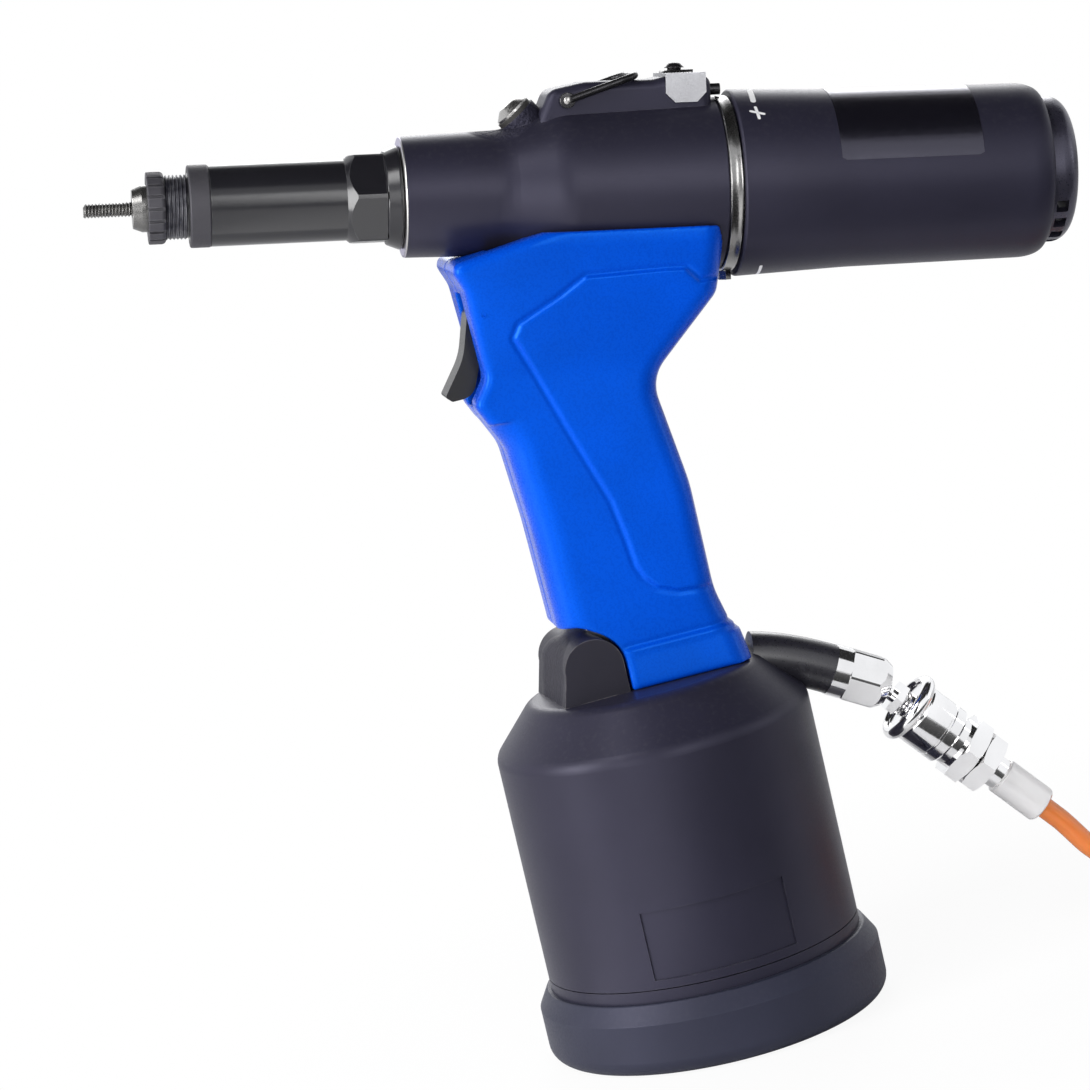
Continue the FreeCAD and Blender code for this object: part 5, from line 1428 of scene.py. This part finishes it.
class ThreadMaker:
    """Winds threads round turned cores with one geometry node tree."""

    POINTS_PER_TURN = 48
    RIDGE_CORNERS = 4
    SMOOTH = 30.0

    def __init__(self, paint: Paint) -> None:
        """Make the node tree.

        Args:
            paint: dresses the pieces.
        """
        self.paint = paint
        self.tree = self._tree()

    def _tree(self) -> bpy.types.NodeTree:
        """Geometry nodes that sweep a ridge along a helix and join it to the core.

        Returns:
            The node tree.
        """
        tree = bpy.data.node_groups.new("Thread", "GeometryNodeTree")
        tree.interface.new_socket("Geometry", in_out="INPUT", socket_type="NodeSocketGeometry")
        for label in ("Radius", "Pitch", "Length", "Ridge"):
            tree.interface.new_socket(label, in_out="INPUT", socket_type="NodeSocketFloat")
        tree.interface.new_socket("Finish", in_out="INPUT", socket_type="NodeSocketMaterial")
        tree.interface.new_socket("Geometry", in_out="OUTPUT", socket_type="NodeSocketGeometry")
        graph = Graph(tree)
        given = graph.node("NodeGroupInput").outputs
        out = graph.node("NodeGroupOutput")
        spiral = graph.node("GeometryNodeCurveSpiral")
        spiral.inputs["Resolution"].default_value = self.POINTS_PER_TURN
        graph.feed(spiral.inputs["Rotations"], graph.math("DIVIDE", given["Length"], given["Pitch"]))
        graph.feed(spiral.inputs["Start Radius"], given["Radius"])
        graph.feed(spiral.inputs["End Radius"], given["Radius"])
        graph.feed(spiral.inputs["Height"], given["Length"])
        normal = graph.node("GeometryNodeSetCurveNormal", mode="Z_UP")
        graph.feed(normal.inputs["Curve"], spiral.outputs[0])
        profile = graph.node("GeometryNodeCurvePrimitiveCircle")
        profile.inputs["Resolution"].default_value = self.RIDGE_CORNERS
        graph.feed(profile.inputs["Radius"], given["Ridge"])
        sweep = graph.node("GeometryNodeCurveToMesh")
        sweep.inputs["Fill Caps"].default_value = True
        graph.feed(sweep.inputs["Curve"], normal.outputs[0])
        graph.feed(sweep.inputs["Profile Curve"], profile.outputs[0])
        join = graph.node("GeometryNodeJoinGeometry")
        graph.feed(join.inputs[0], given["Geometry"])
        graph.feed(join.inputs[0], sweep.outputs[0])
        real = graph.node("GeometryNodeRealizeInstances")
        graph.feed(real.inputs[0], join.outputs[0])
        dressed = graph.node("GeometryNodeSetMaterial")
        graph.feed(dressed.inputs["Geometry"], real.outputs[0])
        graph.feed(dressed.inputs["Material"], given["Finish"])
        graph.feed(out.inputs[0], dressed.outputs[0])
        return tree

    def wound(
        self, name: str, core: Rings, hollow: bool, thread: ThreadSizes, finish: str
    ) -> bpy.types.Object:
        """A turned core with a thread.

        Args:
            name: name of the piece.
            core: places and radii, measured along the barrel from the thread's start.
            hollow: whether the core is a tube.
            thread: the thread's sizes.
            finish: name of its finish.

        Returns:
            The dressed piece, in its place on the barrel.
        """
        base = Draft(name + "_core").turned(sections_of(core), axis="Z", hollow=hollow).done()
        winding = base.modifiers.new("Thread", "NODES")
        winding.node_group = self.tree
        values = {
            "Radius": thread.radius * MM,
            "Pitch": thread.pitch * MM,
            "Length": thread.length * MM,
            "Ridge": thread.ridge * MM,
            "Finish": self.paint.material(finish),
        }
        for item in self.tree.interface.items_tree:
            if item.in_out == "INPUT" and item.name in values:
                winding[item.identifier] = values[item.name]
        data = evaluated_mesh(base)
        start = BARREL.point(thread.start, 0.0, 0.0)
        axis = BARREL.point(thread.start + 1.0, 0.0, 0.0) - start
        turn = Vector((0.0, 0.0, 1.0)).rotation_difference(axis).to_matrix().to_4x4()
        data.transform(Matrix.Translation(start) @ turn)
        return self.paint.dress(new_object(name, data, self.SMOOTH), finish)


@dataclass
class Nose:
    """The threaded mandrel and the thread behind the anvil's lock nut.

    Args:
        paint: dresses the pieces.
        mandrel_thread: the mandrel's thread.
        mandrel_core: places from the thread's start and radii of the bar under it.
        neck_thread: the thread on the anvil's neck.
        neck_core: the same as mandrel_core for the tube under it.
    """

    paint: Paint
    mandrel_thread: ThreadSizes = ThreadSizes(
        start=-119.6, length=16.0, radius=1.5, ridge=0.5, pitch=0.9
    )
    mandrel_core: Rings = ((-0.4, 1.0), (0.1, 1.5), (16.6, 1.5), (16.6, 1.55), (36.0, 1.55))
    neck_thread: ThreadSizes = ThreadSizes(
        start=-98.2, length=5.6, radius=8.28, ridge=0.42, pitch=1.0
    )
    neck_core: Rings = ((0.0, 8.0), (0.0, 8.32), (5.6, 8.32), (5.6, 8.0))

    def build(self) -> None:
        """Make the mandrel and the neck's thread."""
        maker = ThreadMaker(self.paint)
        mandrel = maker.wound(
            "threaded_mandrel", self.mandrel_core, False, self.mandrel_thread, "dark_steel"
        )
        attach(mandrel, "mandrel")
        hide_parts("mandrel")
        neck = maker.wound("neck_thread", self.neck_core, True, self.neck_thread, "thread_steel")
        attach(neck, "gun_body")
        log.info("nose: 2 threads")


@dataclass
class AdjustRing:
    """The polished ring between head and sleeve, with the thread that the sleeve turns on.

    Args:
        paint: dresses the ring.
        thread: its thread.
        core: places from the thread's start and radii of the ring and the tube under the thread.
    """

    paint: Paint
    thread: ThreadSizes = ThreadSizes(start=55.4, length=12.0, radius=22.15, ridge=0.45, pitch=2.0)
    core: Rings = (
        (-3.9, 14.0), (-3.9, 23.5), (-3.7, 23.8), (-3.3, 23.8), (-2.8, 23.62), (-1.6, 23.62),
        (-1.1, 23.8), (-0.7, 23.8), (-0.4, 23.4), (-0.4, 22.1), (12.6, 22.1), (12.6, 14.0),
    )

    def build(self) -> None:
        """Make the ring with its thread."""
        maker = ThreadMaker(self.paint)
        ring = maker.wound("adjust_ring", self.core, True, self.thread, "polished_ring")
        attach(ring, "gun_body")
        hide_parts("thread_ring")
        log.info("adjust ring: 1 thread")


@dataclass(frozen=True)
class SpringSeat:
    """How a hidden coil spring is squeezed.

    Args:
        node: the spring's node.
        joint: joint that squeezes it, not used.
        axis: direction that it is squeezed along, not used.
        anchor: point on the face that it is pushed against, in metres, not used.
        keep: share of its length that is left at the joint's limit, not used.
    """

    node: str
    joint: str
    axis: Vector
    anchor: Vector
    keep: float


@dataclass
class Springs:
    """The piston's return spring and the trigger's spring, as smooth-shaded copies of their CAD meshes.

    Args:
        paint: dresses the springs.
        seats: how each of them is squeezed.
        smooth: angle in degrees up to which their edges are shaded smooth.
    """

    paint: Paint
    seats: tuple[SpringSeat, ...] = (
        SpringSeat("return_spring", "pull_stroke", BARREL.heading(), BARREL.point(43.2, 0.0, 0.0), 0.65),
        SpringSeat("trigger_spring", "trigger_pull", ROW.heading(), ROW.point(-17.02, 0.0, 213.0), 0.45),
    )
    smooth: float = 60.0

    def build(self) -> None:
        """Make both springs."""
        for seat in self.seats:
            coil = new_object(seat.node + "_coil", merged_copy(seat.node), self.smooth)
            piece = self.paint.dress(coil, "bare_steel")
            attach(piece, "gun_body")
            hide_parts(seat.node)
            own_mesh(piece)
        log.info("springs: %d", len(self.seats))


@dataclass(frozen=True)
class GripForms:
    """Moulded forms of the grip, measured on the drawing of its side in millimetres (x, z).

    Args:
        panel: outline of the palm panel.
        panel_stand: how far it stands out.
        soft: width of its rounded edge.
        groove: depth of the fine line round it.
        groove_at: how far outside the edge the line lies.
        groove_width: half its width.
        seam_clear: nearest distance from the middle plane at which the panel stands out.
        side_gain: how fast a face that turns to the side takes the panel's relief.
        side_start: where on that scale it starts.
        band_top: height of the foot band's upper edge.
        band_stand: how far the band stands out.
        band_front: where the band ends beside the block.
        band_fade: length over which it ends there.
        core_x: middle of the grip's foot along X.
        core_reach: distance from that middle at which a wall takes the whole band.
        mark: centre of the small mould mark.
        voxel: size of the skin's faces.
        soften: factor and rounds of the skin's smoothing.
    """

    panel: Rings = (
        (7.5, 212.7), (0.0, 209.0), (-12.5, 204.2), (-14.6, 201.0), (-11.5, 192.0), (-5.2, 171.5),
        (1.2, 152.0), (3.0, 140.5), (3.7, 133.4), (5.2, 129.4), (8.2, 126.2), (13.5, 124.0),
        (21.5, 123.2), (60.0, 124.0), (60.0, 202.0), (37.0, 204.2), (33.8, 208.6), (29.0, 209.6),
    )
    panel_stand: float = 0.75
    soft: float = 0.9
    groove: float = 0.35
    groove_at: float = 0.85
    groove_width: float = 0.55
    seam_clear: float = 8.0
    side_gain: float = 3.0
    side_start: float = 0.6
    band_top: float = 111.2
    band_stand: float = 0.7
    band_front: float = -4.5
    band_fade: float = 3.0
    core_x: float = 12.0
    core_reach: float = 6.0
    mark: tuple[float, float] = (-21.6, 209.4)
    voxel: float = 0.5
    soften: tuple[float, int] = (0.5, 9)


@dataclass
class Grip:
    """The moulded blue shells, with soft corners, and their screws.

    Args:
        paint: dresses the pieces.
        forms: the shells' moulded forms.
        screws: place of each screw head: x, z and y.
        screw_rings: rings of a screw head, with its hexagon socket.
        mark_rings: rings of the square mould mark.
        mark_lift: how far the mark stands on the shell.
    """

    paint: Paint
    forms: GripForms = GripForms()
    screws: tuple[Triple, ...] = ((31.0, 200.0, 18.6), (-20.6, 219.2, 20.4), (-22.4, 183.2, 15.6))
    screw_rings: tuple[Section, ...] = (
        Section(-6.0, 1.1), Section(-1.8, 1.1), Section(-1.8, 2.05), Section(-0.35, 2.05),
        Section(-0.05, 1.8), Section(-0.05, 1.15, flats=6), Section(-1.1, 1.15, flats=6),
    )
    mark_rings: tuple[Section, ...] = (
        Section(0.3, 0.45, flats=4), Section(0.3, 0.75, flats=4), Section(0.0, 0.7, flats=4),
        Section(0.0, 0.5, flats=4),
    )
    mark_lift: float = 0.12

    def build(self) -> None:
        """Make the shells, their small mark and the screw heads."""
        for name in ("grip_shell_left", "grip_shell_right"):
            self._shell(name)
        self._mark()
        self._screws()

    def _shell(self, name: str) -> None:
        """Make a shell as a skin with softened edges and the moulded forms.

        Args:
            name: the shell's node.
        """
        source = bpy.data.objects.new("grip_form", merged_copy(name))
        bpy.context.scene.collection.objects.link(source)
        remesh = source.modifiers.new("Skin", "REMESH")
        remesh.mode = "VOXEL"
        remesh.voxel_size = self.forms.voxel * MM
        soften = source.modifiers.new("Soften", "SMOOTH")
        soften.factor, soften.iterations = self.forms.soften
        data = evaluated_mesh(source)
        self._mould(data)
        piece = new_object(name + "_cover", data, smooth=180.0)
        self.paint.dress(piece, "blue_shell")
        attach(piece, "gun_body")
        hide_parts(name)
        log.info("%s: %d faces", piece.name, len(data.polygons))

    @staticmethod
    def _rise(distance: np.ndarray, width: float) -> np.ndarray:
        """A soft step from 0 to 1 over a width, centred where the distance is 0."""
        share = np.clip(distance / width + 0.5, 0.0, 1.0)
        return share * share * (3.0 - 2.0 * share)

    def _line(self, distance: np.ndarray) -> np.ndarray:
        """Depth of the fine line beside an edge."""
        forms = self.forms
        return np.exp(-(((distance + forms.groove_at) / forms.groove_width) ** 2)) * forms.groove

    @staticmethod
    def _inside(points: np.ndarray, outline: Rings) -> np.ndarray:
        """Signed distance of points to an outline.

        Args:
            points: the points, one a row.
            outline: the outline's corners in order.

        Returns:
            The distances, positive inside.
        """
        corners = np.array(outline)
        nearest = np.full(len(points), np.inf)
        within = np.zeros(len(points), dtype=bool)
        for first, last in zip(corners, np.roll(corners, -1, axis=0)):
            run = last - first
            share = np.clip(((points - first) @ run) / (run @ run), 0.0, 1.0)
            gap = points - first - share[:, None] * run
            nearest = np.minimum(nearest, np.hypot(gap[:, 0], gap[:, 1]))
            spans = (first[1] > points[:, 1]) != (last[1] > points[:, 1])
            if run[1]:
                crossing = first[0] + (points[:, 1] - first[1]) * run[0] / run[1]
                within ^= spans & (points[:, 0] < crossing)
        return np.where(within, nearest, -nearest)

    def _mould(self, data: bpy.types.Mesh) -> None:
        """Raise the palm panel and the foot band out of the skin.

        Args:
            data: the shell's mesh, which is changed.
        """
        forms = self.forms
        places = np.empty(len(data.vertices) * 3)
        normals = np.empty(len(data.vertices) * 3)
        data.vertices.foreach_get("co", places)
        data.vertices.foreach_get("normal", normals)
        places = places.reshape(-1, 3) / MM
        normals = normals.reshape(-1, 3)
        side = np.sign(places[:, 1])
        outer = np.clip(normals[:, 1] * side * forms.side_gain - forms.side_start, 0.0, 1.0)
        outer *= np.abs(places[:, 1]) > forms.seam_clear
        depth = self._inside(places[:, [0, 2]], forms.panel)
        panel = self._rise(depth, forms.soft) * forms.panel_stand - self._line(depth)
        places[:, 1] += panel * outer * side
        level = normals.copy()
        level[:, 2] = 0.0
        away = places - (forms.core_x, 0.0, 0.0)
        facing = np.clip(np.sum(level * away, axis=1) / forms.core_reach, 0.0, 1.0)
        step = forms.band_top - places[:, 2]
        band = self._rise(step, forms.soft) - self._line(step)
        along = self._rise(places[:, 0] - forms.band_front, forms.band_fade)
        band *= along * facing * forms.band_stand
        places += level * band[:, None]
        data.vertices.foreach_set("co", (places * MM).ravel())
        data.update()

    def _mark(self) -> None:
        """A small square mould mark on the near shell."""
        x, z = self.forms.mark
        skin = Skin("grip_shell_right", ROW)
        surface = skin.hit(Vector((x, -skin.CLEAR, z)), Vector((0.0, 1.0, 0.0)))
        draft = Draft("mould_mark")
        centre = (x, surface.y - self.mark_lift, z)
        draft.turned(list(self.mark_rings), axis="Y", centre=centre, steps=32, hollow=True)
        piece = self.paint.dress(draft.done(), "blue_shell")
        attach(piece, "gun_body")

    def _screws(self) -> None:
        """Round heads with hexagon sockets on the far shell."""
        draft = Draft("grip_screw_heads")
        for x, z, y in self.screws:
            draft.turned(list(self.screw_rings), axis="Y", centre=(x, y, z), steps=48)
        piece = self.paint.dress(draft.done(), "dark_wire")
        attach(piece, "gun_body")
        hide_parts("grip_screws")


@dataclass(frozen=True)
class HeadSizes:
    """Small pieces on the head, in millimetres along and above the barrel's axis.

    Args:
        bail_pivot: the bail's axis.
        eye: distances from the middle plane and radii of the bail's eyes.
        pin: the same of its pin heads.
        clip_at: station of the clip screw.
        shank_end: height where its shank ends, clear of the push button's stem.
    """

    bail_pivot: Triple = (10.2, 0.0, 24.3)
    eye: Rings = ((9.2, 1.75), (9.2, 1.95), (9.35, 2.1), (10.5, 2.1), (10.7, 1.9), (10.75, 1.2))
    pin: Rings = ((10.6, 1.15), (10.95, 1.1), (11.15, 0.8), (11.22, 0.35))
    clip_at: float = 41.2
    shank_end: float = 27.4


@dataclass
class Head:
    """Small pieces on the head: the bail's eyes and the clip screw.

    Args:
        paint: dresses the pieces.
        sizes: their sizes.
    """

    paint: Paint
    sizes: HeadSizes = HeadSizes()

    def build(self) -> None:
        """Make the bail's eyes, their pins and the clip screw."""
        self._bail_pieces("bail_eyes", self.sizes.eye, 48, "dark_wire")
        self._bail_pieces("bail_pin_heads", self.sizes.pin, 32, "bare_steel")
        self._clip_screw()

    def _bail_pieces(self, name: str, rings: Rings, steps: int, finish: str) -> None:
        """Make a turned piece on each side of the bail.

        Args:
            name: name of the piece that they form.
            rings: distances from the middle plane and radii.
            steps: points round the axis.
            finish: name of their finish.
        """
        draft = Draft(name, BARREL)
        pivot = self.sizes.bail_pivot
        for side in (-1.0, 1.0):
            draft.turned(sections_of(rings, side), axis="Y", centre=pivot, steps=steps)
        piece = self.paint.dress(draft.done(), finish)
        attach(piece, "bail")
        log.info("%s: 2", name)

    def _clip_screw(self) -> None:
        """The clip screw with its plate, its shank cut clear of the push button's stem."""
        mesh = bmesh.new()
        mesh.from_mesh(merged_copy("clip_screw"))
        end = BARREL.point(self.sizes.clip_at, 0.0, self.sizes.shank_end)
        up = BARREL.point(0.0, 0.0, 1.0) - BARREL.point(0.0, 0.0, 0.0)
        parts = [*mesh.verts, *mesh.edges, *mesh.faces]
        cut = bmesh.ops.bisect_plane(mesh, geom=parts, plane_co=end, plane_no=up, clear_inner=True)
        rim = [item for item in cut["geom_cut"] if isinstance(item, bmesh.types.BMEdge)]
        bmesh.ops.contextual_create(mesh, geom=rim)
        bmesh.ops.recalc_face_normals(mesh, faces=mesh.faces)
        data = bpy.data.meshes.new("clip_screw_short")
        mesh.to_mesh(data)
        mesh.free()
        piece = self.paint.dress(new_object("clip_screw_short", data), "dark_wire")
        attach(piece, "gun_body")
        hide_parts("clip_screw")
        log.info("clip screw: %d faces", len(data.polygons))


@dataclass(frozen=True)
class LabelSizes:
    """The blank label film on the sleeve.

    Args:
        start: station where it starts, in millimetres.
        end: station where it ends.
        low: angle of its lower edge in degrees up from -Y.
        high: angle of its upper edge.
        corner: radius of its corners.
        lift: how far it stands on the sleeve.
        depth: how far it reaches into it.
        rows: steps along it.
        columns: steps round it.
    """

    start: float = 82.0
    end: float = 121.2
    low: float = 13.4
    high: float = 108.0
    corner: float = 0.7
    lift: float = 0.10
    depth: float = 0.05
    rows: int = 30
    columns: int = 48


@dataclass(frozen=True)
class SleeveSizes:
    """The stroke adjusting sleeve: stations along the barrel and radii in millimetres.

    Args:
        rear: its rear end.
        shoulder: length of the round shoulder in front of that.
        shoulder_fullness: exponent that makes the shoulder fuller than a quarter circle.
        shoulder_steps: steps of the shoulder.
        round_edge: radius of its front edge.
        edge_steps: steps of that edge.
        radii: stations and radii of its outside.
        end_radius: radius where the shoulder ends.
        thread_bore: bore over the thread.
        bore: bore behind the thread.
        ledge: where that bore ends.
        neck_bore: bore behind the ledge.
        thread_end: where the thread's bore ends.
        steps: points round the axis.
    """

    rear: float = 141.5
    shoulder: float = 7.0
    shoulder_fullness: float = 0.8
    shoulder_steps: int = 16
    round_edge: float = 0.7
    edge_steps: int = 6
    radii: Rings = ((55.3, 25.4), (83.2, 24.37), (86.8, 24.27), (134.5, 23.9))
    end_radius: float = 20.4
    thread_bore: float = 22.72
    bore: float = 21.6
    ledge: float = 136.0
    neck_bore: float = 18.5
    thread_end: float = 73.5
    steps: int = 192


@dataclass(frozen=True)
class DialMarks:
    """The painted plus and minus signs and their arrows, in millimetres.

    Args:
        width: width of a plain stroke.
        strokes: start and end, as stations and angles in degrees up from -Y, and share of width.
        lift: how far the paint stands on the sleeve.
        depth: how far it reaches into it.
        rows: places across a stroke, as shares of half its width.
        steps: steps along a stroke.
        tip: least half width at its round ends.
    """

    width: float = 0.85
    strokes: tuple[tuple[tuple[float, float], tuple[float, float], float], ...] = (
        ((58.5, 50.9), (62.7, 47.7), 1.0), ((60.4, 55.3), (60.8, 43.5), 1.0),
        ((61.8, 104.0), (60.35, 59.6), 1.8), ((61.2, -61.5), (61.8, -90.0), 1.0),
        ((58.9, -104.0), (63.3, -104.0), 1.0),
    )
    lift: float = 0.06
    depth: float = 0.04
    rows: tuple[float, ...] = (-1.0, -0.33, 0.33, 1.0)
    steps: int = 24
    tip: float = 0.03


@dataclass
class Sleeve:
    """The stroke adjusting sleeve with its blank label and dial marks.

    Args:
        paint: dresses the pieces.
        sizes: the sleeve's sizes.
        label: the label's sizes.
        marks: the painted marks.
        girth: radius that turns lengths round the sleeve into angles.
    """

    paint: Paint
    sizes: SleeveSizes = SleeveSizes()
    label: LabelSizes = LabelSizes()
    marks: DialMarks = DialMarks()
    girth: float = 25.2

    def build(self) -> None:
        """Make the sleeve, its label and its marks."""
        skin = Skin("rear_sleeve", BARREL)
        self._shell()
        self._label(skin)
        self._marks(skin)

    def _shell(self) -> None:
        """The sleeve itself, with a round shoulder at its rear."""
        s = self.sizes
        (front, widest), *body, (_, narrow) = s.radii
        rings = [(front, s.thread_bore)]
        for i in range(s.edge_steps + 1):
            angle = 0.5 * math.pi * i / s.edge_steps
            lift = s.round_edge * (1.0 - math.sin(angle))
            rings.append((front + s.round_edge * (1.0 - math.cos(angle)), widest - lift))
        rings += body
        start = s.rear - s.shoulder
        for i in range(s.shoulder_steps + 1):
            angle = 0.5 * math.pi * i / s.shoulder_steps
            fall = (narrow - s.end_radius) * (1.0 - math.cos(angle) ** s.shoulder_fullness)
            rings.append((start + s.shoulder * math.sin(angle), narrow - fall))
        rings += [
            (s.rear, s.neck_bore), (s.ledge, s.neck_bore), (s.ledge, s.bore),
            (s.thread_end, s.bore), (s.thread_end, s.thread_bore),
        ]
        draft = Draft("adjust_sleeve", BARREL)
        draft.turned(sections_of(tuple(rings)), steps=s.steps, hollow=True)
        piece = self.paint.dress(draft.done(), "satin_charcoal")
        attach(piece, "sleeve")
        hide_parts("rear_sleeve")
        log.info("sleeve: %.1f mm long", s.rear - front)

    def _label(self, skin: Skin) -> None:
        """Lay on a glossy black film with rounded corners.

        Args:
            skin: the sleeve's surface.
        """
        s = self.label
        top, bottom = [], []
        for i in range(s.rows + 1):
            x = s.start + (s.end - s.start) * i / s.rows
            near = min(x - s.start, s.end - x)
            inset = 0.0
            if near < s.corner:
                inset = s.corner - math.sqrt(s.corner**2 - (s.corner - near) ** 2)
            low = math.radians(s.low) + inset / self.girth
            high = math.radians(s.high) - inset / self.girth
            angles = [low + (high - low) * j / s.columns for j in range(s.columns + 1)]
            top.append([skin.around(x, angle, s.lift) for angle in angles])
            bottom.append([skin.around(x, angle, -s.depth) for angle in angles])
        draft = Draft("blank_label", BARREL)
        draft.slab(top, bottom)
        piece = self.paint.dress(draft.done(), "label_film")
        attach(piece, "sleeve")
        log.info("label: %.0f mm long", s.end - s.start)

    def _stroke(self, draft: Draft, skin: Skin, ends: Rings, width: float) -> None:
        """Paint one stroke with round ends.

        Args:
            draft: mesh to add it to.
            skin: the sleeve's surface.
            ends: station in millimetres and angle in degrees of both ends.
            width: its width in millimetres.
        """
        m = self.marks
        first, last = (Vector((at, math.radians(angle) * self.girth)) for at, angle in ends)
        length = (last - first).length
        ahead = (last - first).normalized()
        side = Vector((-ahead.y, ahead.x))
        top, bottom = [], []
        for i in range(m.steps + 1):
            share = 0.5 - 0.5 * math.cos(math.pi * i / m.steps)
            near = min(share, 1.0 - share) * length
            reach = max(0.0, 0.5 * width - near)
            half = max(m.tip, math.sqrt(max(0.0, 0.25 * width**2 - reach**2)))
            places = [first.lerp(last, share) + side * (half * row) for row in m.rows]
            top.append([skin.around(p.x, p.y / self.girth, m.lift) for p in places])
            bottom.append([skin.around(p.x, p.y / self.girth, -m.depth) for p in places])
        draft.slab(top, bottom)

    def _marks(self, skin: Skin) -> None:
        """Paint the plus and minus signs, each with a short arrow round the sleeve.

        Args:
            skin: the sleeve's surface.
        """
        draft = Draft("dial_marks", BARREL)
        for start, end, share in self.marks.strokes:
            self._stroke(draft, skin, (start, end), share * self.marks.width)
        piece = self.paint.dress(draft.done(), "white_paint")
        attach(piece, "sleeve")
        log.info("dial marks: %d strokes", len(self.marks.strokes))


class RivetGun:
    """The whole tool."""

    SUB_ASSEMBLIES = (AirLine, Nose, AdjustRing, Springs, Grip, Head, Sleeve)

    def __init__(self) -> None:
        """Get the paint ready."""
        self.paint = Paint()

    def build(self) -> None:
        """Add the visual pieces and dress the CAD ones."""
        for group in self.SUB_ASSEMBLIES:
            group(self.paint).build()
        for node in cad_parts.values():
            if not node.hide_render:
                self._dress(node)

    def _dress(self, node: bpy.types.Object) -> None:
        """Give a CAD piece the finish of its record slot, or its own.

        Args:
            node: the piece.
        """
        slot = node.data.materials[0].name.split(".")[0]
        name = NODE_FINISHES.get(node.name, slot)
        self.paint.dress(node, name)
        log.info("%s: %s", node.name, name)


def main() -> None:
    """Build the scene."""
    logging.basicConfig(level=logging.INFO, format="%(name)s: %(message)s")
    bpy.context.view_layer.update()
    CameraPlace().build()
    Studio().build()
    RivetGun().build()


if __name__ == "__main__":
    main()
